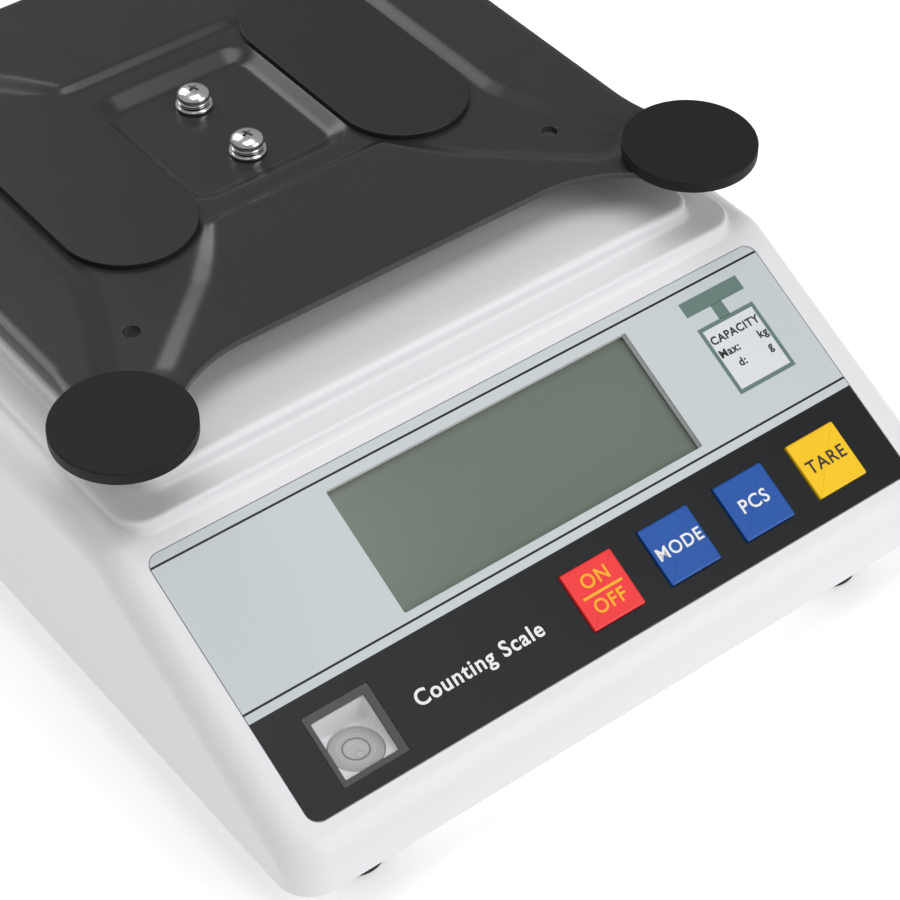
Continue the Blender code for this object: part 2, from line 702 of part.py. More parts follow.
def build_pan_screws():
    for y, name in ((-1, "front"), (1, "rear")):
        place = (0, PAN_Y + y * SCREW_SPACING / 2, 0)
        rise = RECESS_Z + GAP
        for kind, (radius, thick) in (("flat", FLAT_WASHER), ("spring", SPRING_WASHER)):
            top = rise + thick
            section = [(radius, top), (radius, rise), (M5_HOLE, rise), (M5_HOLE, top)]
            ring = turned(f"{kind}_washer_{name}", section, "zinc_steel", place, closed=True)
            rise = top + GAP
        split = block("washer_split_" + name, (3.0, 0.6, 3.0), RECESS_Z + 0.7, (4.0, 0))
        combine(ring, put("washer_split_" + name, split, at=place))
        screw = [(r, rise + z) for r, z in PAN_HEAD]
        screw += [(M5, rise - PAN_SCREW), (0, rise - PAN_SCREW)]
        turned("pan_screw_" + name, screw, "zinc_steel", place)


# ---------------------------------------------------------------- load cell


def build_load_cell():
    middle = CELL_FRONT + CELL[1] / 2
    cell = put("load_cell", block("load_cell", CELL, CELL_Z, (0, middle)), "aluminium")
    waist = CELL_Z + CELL[2] / 2
    radius, apart = CELL_EYE
    for i, shift in enumerate((-apart, apart)):
        eye = rod(f"cell_eye_{i}", radius, -20.0, 20.0, (middle + shift, waist), along="X")
        combine(cell, put(f"cell_eye_{i}", eye))
    slot = block("cell_slot", (40.0, 18.0, 4.0), waist - 2.0, (0, middle))
    combine(cell, put("cell_slot", slot))
    ends = ((PAN_Y, 45.0, 75.0, "load"), (FIXED_END_Y, 30.0, 56.0, "fixed"))
    for y, low, high, end in ends:
        for side in (-1, 1):
            name = f"cell_{end}_bore_{side}"
            bore = rod(name, M5_HOLE, low, high, (0, y + side * SCREW_SPACING / 2), 16)
            combine(cell, put(name, bore))
    top = CELL_Z + CELL[2]
    pillar = block("load_pillar", (30.0, 42.0, RECESS_Z - SHEET - top - 2 * GAP), top + GAP)
    pillar = put("load_pillar", pillar, "aluminium", (0, PAN_Y, 0))
    spacer = block("cell_spacer", (30.0, 40.0, CELL_Z - BASE_TOP - 2 * GAP), BASE_TOP + GAP)
    spacer = put("cell_spacer", spacer, "aluminium", (0, FIXED_END_Y, 0))
    for side in (-1, 1):
        y = side * SCREW_SPACING / 2
        bore = rod(f"pillar_bore_{side}", M5_HOLE, 50.0, 95.0, (0, y), 16)
        combine(pillar, put(f"pillar_bore_{side}", bore, at=(0, PAN_Y, 0)))
        bore = rod(f"spacer_bore_{side}", M5_HOLE, 10.0, 45.0, (0, y), 16)
        combine(spacer, put(f"spacer_bore_{side}", bore, at=(0, FIXED_END_Y, 0)))
        name = "cell_screw_" + ("front" if side < 0 else "rear")
        screw = [(0, CELL_SCREW_TOP), (M5, CELL_SCREW_TOP), (M5, CELL_SCREW[0][1])]
        turned(name, screw + CELL_SCREW, "zinc_steel", (0, FIXED_END_Y + y, 0), 16)


def build_lead():
    """The load cell's lead, from the side of its fixed end to the main board."""
    route = [Vector(point) for point in LEAD_ROUTE]
    curve = bpy.data.curves.new("load_cell_lead", "CURVE")
    curve.dimensions = "3D"
    curve.bevel_depth = LEAD_RADIUS * MM
    curve.bevel_resolution = 2
    curve.use_fill_caps = True
    spline = curve.splines.new("POLY")
    points = []
    for i in range(len(route) - 1):
        before, start = route[max(i - 1, 0)], route[i]
        end, after = route[i + 1], route[min(i + 2, len(route) - 1)]
        points += [smooth_point(before, start, end, after, k / 3) for k in range(3)]
    points.append(route[-1])
    spline.points.add(len(points) - 1)
    for target, point in zip(spline.points, points):
        target.co = (*(point * MM), 1)
    lead = bpy.data.objects.new("load_cell_lead", curve)
    curve.materials.append(FINISH["lead_jacket"])
    PARTS.objects.link(lead)


def smooth_point(before, start, end, after, t):
    """A point on the smooth curve that passes through start and end."""
    return 0.5 * (
        2 * start
        + (end - before) * t
        + (2 * before - 5 * start + 4 * end - after) * t**2
        + (3 * start - before - 3 * end + after) * t**3
    )


# ---------------------------------------------------------------- feet and fastenings


def build_feet():
    pad = [(0, PAD_TOP), (SOLE_RADIUS, PAD_TOP), (SOLE_RADIUS, 1.0), (SOLE_RADIUS - 0.8, 0)]
    pad += [(0, 0)]
    knob = [(0, STUD[1]), (STUD[0], STUD[1]), (STUD[0], KNOB_TOP)]
    knob += [(KNOB_RADIUS - 0.6, KNOB_TOP), (KNOB_RADIUS, KNOB_TOP - 0.6)]
    knob += [(KNOB_RADIUS, PAD_TOP + 1.0), (KNOB_RADIUS - 0.8, PAD_TOP + GAP)]
    knob += [(0, PAD_TOP + GAP)]
    for x, y in foot_places():
        name = corner_name(x, y)
        turned("foot_pad_" + name, pad, "black_rubber", (x, y, 0))
        turned("foot_screw_" + name, knob, "black_plastic", (x, y, 0))


def build_housing_screws():
    top = [(0, HOUSING_SCREW_TOP), (HOUSING_SCREW[0][0], HOUSING_SCREW_TOP)]
    for x, y in corner_signs():
        place = (x * POST[0], y * POST[1], 0)
        name = "housing_screw_" + corner_name(x, y)
        turned(name, top + HOUSING_SCREW, "zinc_steel", place, 12)


def build_batteries():
    place = (*BATTERY, 0)
    width, length = BATTERY_WELL[0] + 5.0, BATTERY_WELL[1] + 5.0
    walls = block("battery_box", (width, length, 17.0), BASE_TOP + GAP)
    box = put("battery_box", walls, "black_plastic", place)
    inside = block("battery_box_inside", (BATTERY_WELL[0] + 1.6, BATTERY_WELL[1] + 1.6, 20.0), 15.5)
    combine(box, put("battery_box_inside", inside, at=place))
    radius, length, pitch, height = CELL_AA
    for i in range(4):
        mesh = rod(f"battery_cell_{i + 1}", radius, -length / 2, length / 2, sides=16, along="Y")
        x = BATTERY[0] + (i - 1.5) * pitch
        put(f"battery_cell_{i + 1}", mesh, "battery_wrap", (x, BATTERY[1], height))
    door = block("battery_door", (*DOOR, DOOR_Z[1] - DOOR_Z[0]), DOOR_Z[0])
    put("battery_door", door, "base_abs", place)


def build_socket():
    """A barrel socket with its round mouth through the rear wall."""
    x, z = SOCKET
    body = block("power_socket", (14.0, 12.0, 11.0), z - 5.5, (0, 147.0))
    socket = put("power_socket", body, "black_plastic", (x, 0, 0))
    barrel = rod("socket_barrel", 5.2, 150.0, 156.2, (0, z), along="Y")
    combine(socket, put("socket_barrel", barrel, at=(x, 0, 0)), "UNION")
    bore = rod("socket_bore", 3.1, 144.0, 160.0, (0, z), along="Y", sides=16)
    combine(socket, put("socket_bore", bore, at=(x, 0, 0)))
    pin = rod("socket_pin", 1.0, 143.0, 150.6, (0, z), along="Y", sides=10)
    combine(socket, put("socket_pin", pin, at=(x, 0, 0)), "UNION")


build_housing()
build_base()
build_overlay()
build_keys()
build_screen()
build_level()
build_pan_support()
build_discs_and_pads()
build_pan_screws()
build_load_cell()
build_lead()
build_feet()
build_housing_screws()
build_batteries()
build_socket()
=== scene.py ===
import json
import math

import bmesh
import bpy
import numpy as np
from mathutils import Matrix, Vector


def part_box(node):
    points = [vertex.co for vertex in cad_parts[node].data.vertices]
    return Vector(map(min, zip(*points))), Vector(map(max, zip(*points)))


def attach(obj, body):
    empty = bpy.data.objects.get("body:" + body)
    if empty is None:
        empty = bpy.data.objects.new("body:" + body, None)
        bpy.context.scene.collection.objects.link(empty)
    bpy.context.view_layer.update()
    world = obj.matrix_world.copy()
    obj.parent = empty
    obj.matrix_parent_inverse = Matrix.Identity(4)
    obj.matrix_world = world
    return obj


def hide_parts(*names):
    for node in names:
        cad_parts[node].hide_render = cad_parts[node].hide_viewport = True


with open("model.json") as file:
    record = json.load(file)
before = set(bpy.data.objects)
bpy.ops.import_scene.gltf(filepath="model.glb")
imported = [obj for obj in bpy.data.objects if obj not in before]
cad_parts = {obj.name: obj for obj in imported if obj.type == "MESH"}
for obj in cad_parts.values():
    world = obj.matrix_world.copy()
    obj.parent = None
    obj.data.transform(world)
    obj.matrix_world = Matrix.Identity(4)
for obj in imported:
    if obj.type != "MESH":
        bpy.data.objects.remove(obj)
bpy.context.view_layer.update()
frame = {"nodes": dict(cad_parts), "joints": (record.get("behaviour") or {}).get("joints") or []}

bl_info = {
    "name": "Counting scale looks",
    "version": (1, 0, 0),
    "blender": (4, 5, 0),
    "location": "3D View > Sidebar > Counting scale",
    "description": "Builds the fine surfaces and finishes of a counting scale round its CAD frame",
    "category": "Object",
}

MM = 0.001
KEYS = ("on_off", "mode", "pieces", "tare")
CORNERS = ("front_left", "front_right", "rear_left", "rear_right")
ENDS = ("front", "rear")

# The panel's slope comes from the keys' travel. PANEL_START is the middle of its upper line
PRESS = Vector(next(j["axis"] for j in frame["joints"] if j["name"] == "mode_press"))
NORMAL = -PRESS.normalized()
TILT = math.atan2(-NORMAL.y, NORMAL.z)
SLOPE = Vector((0, math.cos(TILT), math.sin(TILT)))
PANEL_START = Vector((0, -79.0, 70.0)) * MM


# ---------------------------------------------------------------- settings


def length(name, default, description, low=0.0):
    return bpy.props.FloatProperty(
        name=name,
        description=description,
        default=default * MM,
        min=low * MM,
        precision=5,
        subtype="DISTANCE",
        unit="LENGTH",
    )


def colour(name, default, description):
    return bpy.props.FloatVectorProperty(
        name=name,
        description=description,
        default=default,
        size=3,
        min=0.0,
        max=1.0,
        subtype="COLOR",
    )


class ScaleSizes(bpy.types.PropertyGroup):
    """Sizes of the fine shapes that the CAD frame leaves plain"""

    corner_radius: length("Corner radius", 10.5, "Radius of the housing's upright corners")
    edge_radius: length("Edge radius", 8.0, "Radius round the top of the housing")
    fillet: length("Fillet", 1.6, "Hollow radius at the foot of each step")
    key_bevel: length("Key bevel", 0.55, "Sloping edge round each key cap")
    sheet_pitch: length("Sheet pitch", 1.15, "Spacing of the pan support's mesh", 0.6)
    rim_radius: length("Rim radius", 0.45, "Rounding of the rubber discs and pads")
    flutes: bpy.props.IntProperty(
        name="Flutes", description="Grip flutes round each foot's knob", default=20, min=8
    )


class ScaleColours(bpy.types.PropertyGroup):
    """Colours of the finishes"""

    housing: colour("Housing", (0.83, 0.83, 0.85), "White moulded housing")
    silver: colour("Silver", (0.60, 0.65, 0.66), "Silver-grey upper part of the overlay")
    band: colour("Band", (0.004, 0.005, 0.007), "Black lower band of the overlay")
    screen: colour("Screen", (0.155, 0.190, 0.155), "Unlit display")
    red: colour("Red", (0.93, 0.030, 0.032), "Red key")
    blue: colour("Blue", (0.004, 0.085, 0.40), "Blue keys")
    yellow: colour("Yellow", (1.0, 0.60, 0.0), "Yellow key")
    orange: colour("Orange", (1.0, 0.46, 0.0), "Legend of the red key")
    symbol: colour("Symbol", (0.125, 0.205, 0.185), "Grey-green capacity symbol")
    window: colour("Window", (0.052, 0.056, 0.060), "Grey border of the level window")
    paint: colour("Paint", (0.022, 0.022, 0.0225), "Black paint of the pan support")
    rubber: colour("Rubber", (0.007, 0.007, 0.0075), "Black rubber discs, pads and soles")
    steel: colour("Steel", (0.80, 0.81, 0.82), "Zinc plated screws and washers")
    aluminium: colour("Aluminium", (0.74, 0.75, 0.76), "Load cell and its blocks")
    board: colour("Board", (0.012, 0.11, 0.045), "Solder mask of the boards")


# ---------------------------------------------------------------- modelling by hand, in code


def only(piece):
    """Leaves one object selected and active, in object mode."""
    if bpy.context.mode != "OBJECT":
        bpy.ops.object.mode_set(mode="OBJECT")
    bpy.ops.object.select_all(action="DESELECT")
    piece.select_set(True)
    bpy.context.view_layer.objects.active = piece
    return piece


def start(name):
    piece = bpy.context.object
    piece.name = name
    piece.data.name = name
    return only(piece)


def edit(piece, kind="FACE"):
    only(piece)
    bpy.ops.object.mode_set(mode="EDIT")
    bpy.ops.mesh.select_mode(type=kind)
    bpy.ops.mesh.select_all(action="DESELECT")


def done():
    bpy.ops.object.mode_set(mode="OBJECT")


def pick(piece, part, test):
    """Selects the faces, edges or verts of a piece in edit mode that pass a test."""
    shape = bmesh.from_edit_mesh(piece.data)
    count = 0
    for item in getattr(shape, part):
        chosen = test(item)
        item.select_set(chosen)
        count += chosen
    shape.select_flush_mode()
    bmesh.update_edit_mesh(piece.data)
    if not count:
        raise RuntimeError(f"{piece.name}: no {part} picked")


def settle(piece):
    """Puts the piece's place into its mesh."""
    only(piece)
    bpy.ops.object.transform_apply(location=True, rotation=True, scale=True)
    return piece


def cube(name, low, high):
    """A box between two corners in millimetres."""
    low, high = Vector(low) * MM, Vector(high) * MM
    clear()
    bpy.ops.mesh.primitive_cube_add(size=1, location=(low + high) / 2, scale=high - low)
    return settle(start(name))


def clear():
    if bpy.context.mode != "OBJECT":
        bpy.ops.object.mode_set(mode="OBJECT")
    bpy.ops.object.select_all(action="DESELECT")


def cylinder(name, radius, low, high, at=(0, 0), sides=48):
    clear()
    bpy.ops.mesh.primitive_cylinder_add(
        vertices=sides,
        radius=radius * MM,
        depth=(high - low) * MM,
        location=(at[0] * MM, at[1] * MM, (low + high) / 2 * MM),
    )
    return settle(start(name))


def lathe(name, profile, at=(0, 0), steps=64):
    """A profile of (radius, height) in millimetres, extruded point by point and spun."""
    clear()
    bpy.ops.mesh.primitive_plane_add(size=0.01)
    piece = start(name)
    bpy.ops.object.mode_set(mode="EDIT")
    bpy.ops.mesh.select_mode(type="VERT")
    bpy.ops.mesh.select_all(action="SELECT")
    bpy.ops.mesh.merge(type="CENTER")
    x, y = at[0] * MM, at[1] * MM
    where = Vector((x + profile[0][0] * MM, y, profile[0][1] * MM))
    bpy.ops.transform.translate(value=where)
    for radius, height in profile[1:]:
        there = Vector((x + radius * MM, y, height * MM))
        bpy.ops.mesh.extrude_region_move(TRANSFORM_OT_translate={"value": there - where})
        where = there
    bpy.ops.mesh.select_all(action="SELECT")
    bpy.ops.mesh.spin(steps=steps, angle=math.tau, center=(x, y, 0), axis=(0, 0, 1))
    bpy.ops.mesh.select_all(action="SELECT")
    bpy.ops.mesh.remove_doubles(threshold=0.00001)
    bpy.ops.mesh.normals_make_consistent(inside=False)
    done()
    return piece


def apply(piece, kind, **values):
    """Adds a modifier with its values and applies it."""
    only(piece)
    step = piece.modifiers.new(kind.lower(), kind)
    for key, value in values.items():
        setattr(step, key, value)
    bpy.ops.object.modifier_apply(modifier=step.name)
    return piece


def carve(piece, tool, operation="DIFFERENCE"):
    """Cuts a tool away from a piece, or joins it on, and removes the tool."""
    apply(piece, "BOOLEAN", operation=operation, object=tool, solver="MANIFOLD")
    bpy.data.objects.remove(tool, do_unlink=True)
    return piece


def smooth(piece, angle=32.0, weighted=True):
    only(piece)
    bpy.ops.object.shade_smooth_by_angle(angle=math.radians(angle))
    if weighted:
        apply(piece, "WEIGHTED_NORMAL", keep_sharp=True, weight=60)
    return piece


def bevel(piece, test, offset, segments, **more):
    """Bevels the edges that pass a test, by an offset in millimetres."""
    edit(piece, "EDGE")
    pick(piece, "edges", test)
    bpy.ops.mesh.bevel(offset=offset * MM, segments=segments, clamp_overlap=False, **more)
    done()


def box_of(name):
    """The lowest and highest corners in millimetres of a node, and its middle as (x, y)."""
    low, high = (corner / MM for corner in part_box(name))
    return low, high, ((low.x + high.x) / 2, (low.y + high.y) / 2)


def is_bent(edge):
    """Whether the faces beside an edge meet at an angle."""
    return edge.calc_face_angle(0.0) > 0.5


def bent_above(height):
    """A test for bent edges whose ends both reach a height in millimetres."""
    level = (height - 0.01) * MM
    return lambda e: is_bent(e) and min(v.co.z for v in e.verts) > level


def on_panel(piece, u=0.0, v=0.0, out=0.0):
    """Lays a piece modelled flat on the panel, at u across and v down it in millimetres."""
    piece.location = PANEL_START + Vector((u * MM, 0, 0)) - SLOPE * v * MM + NORMAL * out * MM
    piece.rotation_euler = (TILT, 0, 0)
    return settle(piece)


def rounded(width, height, radius, at=(0.0, 0.0), steps=8):
    """A rounded rectangle's outline in millimetres, anticlockwise."""
    points = []
    x, y = width / 2 - radius, height / 2 - radius
    for k, (cx, cy) in enumerate(((x, y), (-x, y), (-x, -y), (x, -y))):
        for i in range(steps + 1):
            turn = math.radians(90 * (k + i / steps))
            points.append(
                (at[0] + cx + radius * math.cos(turn), at[1] + cy + radius * math.sin(turn))
            )
    return points


def plate(name, outlines, low, high):
    """A flat plate between two heights from outlines in millimetres, holes inside the first."""
    clear()
    flat = bpy.data.curves.new(name, "CURVE")
    flat.dimensions = "2D"
    flat.fill_mode = "BOTH"
    flat.extrude = (high - low) / 2 * MM
    for outline in outlines:
        spline = flat.splines.new("POLY")
        spline.points.add(len(outline) - 1)
        spline.use_cyclic_u = True
        for point, (x, y) in zip(spline.points, outline):
            point.co = (x * MM, y * MM, 0, 1)
    piece = bpy.data.objects.new(name, flat)
    bpy.context.scene.collection.objects.link(piece)
    piece.location.z = (low + high) / 2 * MM
    only(piece)
    bpy.ops.object.convert(target="MESH")
    piece = start(name)
    edit(piece, "VERT")
    bpy.ops.mesh.select_all(action="SELECT")
    bpy.ops.mesh.remove_doubles(threshold=0.000002)
    bpy.ops.mesh.normals_make_consistent(inside=False)
    done()
    return settle(piece)


def lettering(name, words, size, weight=0.0, thick=0.05):
    """Flat words as a mesh, centred, with their size in millimetres."""
    clear()
    bpy.ops.object.text_add()
    piece = bpy.context.object
    piece.data.body = words
    piece.data.size = size * MM
    piece.data.align_x = "CENTER"
    piece.data.align_y = "CENTER"
    piece.data.offset = weight * MM
    piece.data.extrude = thick / 2 * MM
    piece.data.space_character = 1.12
    piece.data.resolution_u = 6
    bpy.ops.object.convert(target="MESH")
    piece = start(name)
    edit(piece, "VERT")
    bpy.ops.mesh.select_all(action="SELECT")
    bpy.ops.mesh.remove_doubles(threshold=0.000001)
    done()
    return piece


def join(name, pieces):
    clear()
    for piece in pieces:
        piece.select_set(True)
    bpy.context.view_layer.objects.active = pieces[0]
    bpy.ops.object.join()
    return start(name)


def finish_piece(piece, body, slot, material, *nodes):
    """Gives a piece its material and body, and hides the nodes that it stands for. The slot is not
    used.
    """
    piece.data.materials.clear()
    piece.data.materials.append(material)
    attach(piece, body)
    if nodes:
        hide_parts(*nodes)
    return piece


# ---------------------------------------------------------------- shader groups and materials


def new_group(name, inputs, outputs):
    """An empty node group with float inputs of (name, default) and named outputs."""
    group = bpy.data.node_groups.new(name, "ShaderNodeTree")
    for label, value in inputs:
        socket = group.interface.new_socket(label, in_out="INPUT", socket_type="NodeSocketFloat")
        socket.default_value = value
    for label, kind in outputs:
        group.interface.new_socket(label, in_out="OUTPUT", socket_type=kind)
    return group, group.nodes.new("NodeGroupInput"), group.nodes.new("NodeGroupOutput")


def node(tree, kind, links=None, **values):
    """A new node with its values, and links from {input: socket or number}."""
    made = tree.nodes.new(kind)
    for key, value in values.items():
        setattr(made, key, value)
    for key, source in (links or {}).items():
        if isinstance(source, bpy.types.NodeSocket):
            tree.links.new(source, made.inputs[key])
        else:
            made.inputs[key].default_value = source
    return made


def maths(tree, operation, first, second=0.0, clamp=False):
    links = {0: first, 1: second}
    return node(tree, "ShaderNodeMath", links, operation=operation, use_clamp=clamp).outputs[0]


def grain_group():
    """Fine moulded or painted grain: a height over the surface."""
    group, given, out = new_group(
        "surface_grain", [("Scale", 2500.0), ("Roughness", 0.6)], [("Height", "NodeSocketFloat")]
    )
    place = node(group, "ShaderNodeTexCoord").outputs["Object"]
    fine = node(
        group,
        "ShaderNodeTexNoise",
        {"Vector": place, "Scale": given.outputs["Scale"], "Roughness": given.outputs["Roughness"]},
    )
    fine.inputs["Detail"].default_value = 3.0
    group.links.new(fine.outputs["Fac"], out.inputs["Height"])
    return group


def handling_group():
    """Faint uneven gloss, as from handling and wiping: a roughness over the surface."""
    group, given, out = new_group(
        "handled_gloss",
        [("Roughness", 0.4), ("Spread", 0.06), ("Scale", 40.0)],
        [("Roughness", "NodeSocketFloat"), ("Tone", "NodeSocketFloat")],
    )
    place = node(group, "ShaderNodeTexCoord").outputs["Object"]
    links = {"Vector": place, "Scale": given.outputs["Scale"], "Detail": 4.0, "Distortion": 0.6}
    cloud = node(group, "ShaderNodeTexNoise", links).outputs["Fac"]
    centred = maths(group, "SUBTRACT", cloud, 0.5)
    swing = maths(group, "MULTIPLY", centred, given.outputs["Spread"])
    total = maths(group, "ADD", swing, given.outputs["Roughness"], clamp=True)
    group.links.new(total, out.inputs["Roughness"])
    group.links.new(cloud, out.inputs["Tone"])
    return group


def wear_group():
    """Edges a little paler than the flats: a mask from how sharply the surface turns."""
    group, given, out = new_group(
        "edge_wear", [("Start", 0.52), ("End", 0.60)], [("Mask", "NodeSocketFloat")]
    )
    bend = node(group, "ShaderNodeNewGeometry").outputs["Pointiness"]
    place = node(group, "ShaderNodeTexCoord").outputs["Object"]
    patchy = node(group, "ShaderNodeTexNoise", {"Vector": place, "Scale": 160.0, "Detail": 4.0})
    links = {
        "Value": bend,
        "From Min": given.outputs["Start"],
        "From Max": given.outputs["End"],
    }
    sharp = node(group, "ShaderNodeMapRange", links).outputs["Result"]
    mask = maths(group, "MULTIPLY", sharp, patchy.outputs["Fac"], clamp=True)
    group.links.new(mask, out.inputs["Mask"])
    return group


def dust_group():
    """Specks of dust that lie on upward faces: a mask."""
    group, given, out = new_group(
        "dust_specks", [("Scale", 900.0), ("Amount", 0.5)], [("Mask", "NodeSocketFloat")]
    )
    place = node(group, "ShaderNodeTexCoord").outputs["Object"]
    links = {"Vector": place, "Scale": given.outputs["Scale"]}
    cells = node(group, "ShaderNodeTexVoronoi", links, feature="F1").outputs["Distance"]
    spots = maths(group, "LESS_THAN", cells, 0.13)
    veil = node(group, "ShaderNodeTexNoise", {"Vector": place, "Scale": 60.0, "Detail": 3.0})
    thin = maths(group, "GREATER_THAN", veil.outputs["Fac"], 0.52)
    normal = node(group, "ShaderNodeNewGeometry").outputs["Normal"]
    up = node(group, "ShaderNodeSeparateXYZ", {0: normal}).outputs["Z"]
    lying = maths(group, "GREATER_THAN", up, 0.6)
    mask = maths(group, "MULTIPLY", maths(group, "MULTIPLY", spots, thin), lying)
    mask = maths(group, "MULTIPLY", mask, given.outputs["Amount"])
    group.links.new(mask, out.inputs["Mask"])
    return group


def make_groups():
    return {
        "grain": grain_group(),
        "handling": handling_group(),
        "wear": wear_group(),
        "dust": dust_group(),
    }


GROUPS = {}
FINISHES = {}


def use_group(tree, key, **values):
    if not GROUPS:
        GROUPS.update(make_groups())
    made = tree.nodes.new("ShaderNodeGroup")
    made.node_tree = GROUPS[key]
    for name, value in values.items():
        made.inputs[name].default_value = value
    return made


def blank(name, **shader_values):
    made = bpy.data.materials.new(name)
    made.use_nodes = True
    shader = made.node_tree.nodes["Principled BSDF"]
    for key, value in shader_values.items():
        shader.inputs[key.replace("_", " ")].default_value = value
    return made, made.node_tree, shader


def blend_colour(tree, mask, first, second, mode="MIX"):
    """Two colours or colour sockets mixed by a mask."""
    made = tree.nodes.new("ShaderNodeMix")
    made.data_type = "RGBA"
    made.blend_type = mode
    for index, source in ((0, mask), (6, first), (7, second)):
        if isinstance(source, bpy.types.NodeSocket):
            tree.links.new(source, made.inputs[index])
        elif index:
            made.inputs[index].default_value = (*source, 1.0)
        else:
            made.inputs[index].default_value = source
    return made.outputs[2]


def shade(tone, factor):
    return tuple(min(1.0, channel * factor) for channel in tone)


def surface(
    name,
    tone,
    roughness,
    grain=2500.0,
    depth=0.02,
    spread=0.06,
    smudge=40.0,
    vary=0.04,
    wear=None,
    dust=0.0,
    base=None,
    **shader_values,
):
    """A finish with grain, uneven gloss, a little tone, and wear and dust where asked."""
    if name in FINISHES:
        return FINISHES[name]
    made, tree, shader = blank(name, **shader_values)
    gloss = use_group(tree, "handling", Roughness=roughness, Spread=spread, Scale=smudge)
    colours = base(tree) if base else tuple(tone)
    if base:
        paler = blend_colour(tree, vary, colours, (1.0, 1.0, 1.0))
        colours = blend_colour(tree, gloss.outputs["Tone"], colours, paler)
    else:
        colours = blend_colour(
            tree, gloss.outputs["Tone"], shade(tone, 1 - vary), shade(tone, 1 + vary)
        )
    if wear:
        edge = use_group(tree, "wear").outputs["Mask"]
        colours = blend_colour(tree, edge, colours, wear)
    if dust:
        specks = use_group(tree, "dust", Amount=dust).outputs["Mask"]
        colours = blend_colour(tree, specks, colours, (0.35, 0.35, 0.34))
    tree.links.new(colours, shader.inputs["Base Color"])
    tree.links.new(gloss.outputs["Roughness"], shader.inputs["Roughness"])
    height = use_group(tree, "grain", Scale=grain).outputs["Height"]
    bump = node(tree, "ShaderNodeBump", {"Height": height, "Strength": 0.5, "Distance": depth * MM})
    tree.links.new(bump.outputs["Normal"], shader.inputs["Normal"])
    FINISHES[name] = made
    return made


def tones():
    return bpy.context.scene.scale_colours


def white_moulding():
    return surface(
        "white_moulding", tones().housing, 0.40, grain=2600, depth=0.03, spread=0.05, vary=0.012
    )


def base_moulding():
    return surface("base_moulding", shade(tones().housing, 0.93), 0.5, grain=1800, depth=0.05)


def satin_paint():
    return surface(
        "satin_black_paint",
        tones().paint,
        0.27,
        grain=1400,
        depth=0.012,
        spread=0.08,
        smudge=25,
        vary=0.08,
        wear=(0.10, 0.10, 0.10),
        dust=0.10,
        Specular_IOR_Level=0.6,
    )


def black_rubber():
    return surface(
        "black_rubber",
        tones().rubber,
        0.62,
        grain=3800,
        depth=0.05,
        spread=0.10,
        vary=0.12,
        dust=0.06,
        Specular_IOR_Level=0.28,
    )


def foam_pad():
    return surface(
        "pad_rubber", shade(tones().rubber, 1.35), 0.5, grain=5200, depth=0.03, vary=0.08, dust=0.06
    )


def zinc():
    return surface(
        "zinc_plate",
        tones().steel,
        0.20,
        grain=700,
        depth=0.02,
        spread=0.16,
        smudge=300,
        vary=0.08,
        Metallic=1.0,
    )


def milled_aluminium():
    return surface(
        "milled_aluminium", tones().aluminium, 0.34, grain=900, depth=0.03, vary=0.05, Metallic=1.0
    )


def black_moulding():
    return surface("black_moulding", (0.022, 0.022, 0.023), 0.45, grain=2200, depth=0.05, vary=0.1)


def key_finish(name, tone):
    return surface(name, tone, 0.36, grain=3200, depth=0.02, spread=0.06, smudge=90, vary=0.03)


def ink(name, tone):
    return surface(name, tone, 0.42, grain=4200, depth=0.01, spread=0.05, vary=0.02)


def solder_mask():
    return surface("solder_mask", tones().board, 0.35, grain=600, depth=0.08, vary=0.15)


def battery_sleeve():
    return surface("battery_sleeve", (0.05, 0.15, 0.11), 0.3, grain=1500, depth=0.02)


def lead_jacket():
    return surface("lead_jacket", (0.30, 0.30, 0.31), 0.5, grain=1800, depth=0.04)


# ---------------------------------------------------------------- housing


def bisected(name, low, high, planes):
    """A box cut by planes of (point in millimetres, outward direction)."""
    body = cube(name, low, high)
    for point, direction in planes:
        edit(body)
        bpy.ops.mesh.select_all(action="SELECT")
        bpy.ops.mesh.bisect(
            plane_co=Vector(point) * MM, plane_no=direction, use_fill=True, clear_outer=True
        )
        done()
    return body


SHOULDER = 74.5
DRAFT = 1.8
NOSE_LEAN = 0.6
BROW = 2.2


def wedge(name, inset, sink=0.0):
    """The drafted body with its sloping front, drawn in by the inset."""
    low, high, _ = box_of("top_housing")
    lean = DRAFT / (SHOULDER - low.z)
    up = Vector((0, 0, 1))
    planes = [
        (PANEL_START / MM - NORMAL * inset, NORMAL),
        ((low.x + inset, 0, low.z), Vector((-1, 0, lean))),
        ((high.x - inset, 0, low.z), Vector((1, 0, lean))),
        ((0, high.y - inset, low.z), Vector((0, 1, lean))),
        ((0, low.y + inset, low.z), Vector((0, -1, NOSE_LEAN / 10))),
        ((0, 0, SHOULDER - inset), up),
    ]
    margin = Vector((4, 4, 0)) if sink else Vector((0, 0, 0))
    return bisected(name, low - Vector((0, 0, sink)) - margin, high + margin, planes)


def round_body(body, floor, corner, radius):
    """Rounds the upright corners, the brow and then the whole upper edge, in millimetres."""
    bevel(body, is_upright, corner, 10)
    bevel(body, is_brow, BROW, 5)
    bevel(body, lambda e: is_rim(e, floor), radius, 9)


def faces_up(face):
    return face.normal.z > 0.7


def is_upright(edge):
    """Whether an edge stands between two faces that are nearly upright."""
    slopes = [abs(face.normal.z) for face in edge.link_faces]
    return len(slopes) == 2 and max(slopes) < 0.3 and edge.calc_face_angle() > 0.8


def is_brow(edge):
    return all(faces_up(f) for f in edge.link_faces) and edge.calc_face_angle() > 0.3


def is_rim(edge, floor):
    if min(v.co.z for v in edge.verts) < (floor + 0.5) * MM:
        return False
    return sum(faces_up(f) for f in edge.link_faces) == 1


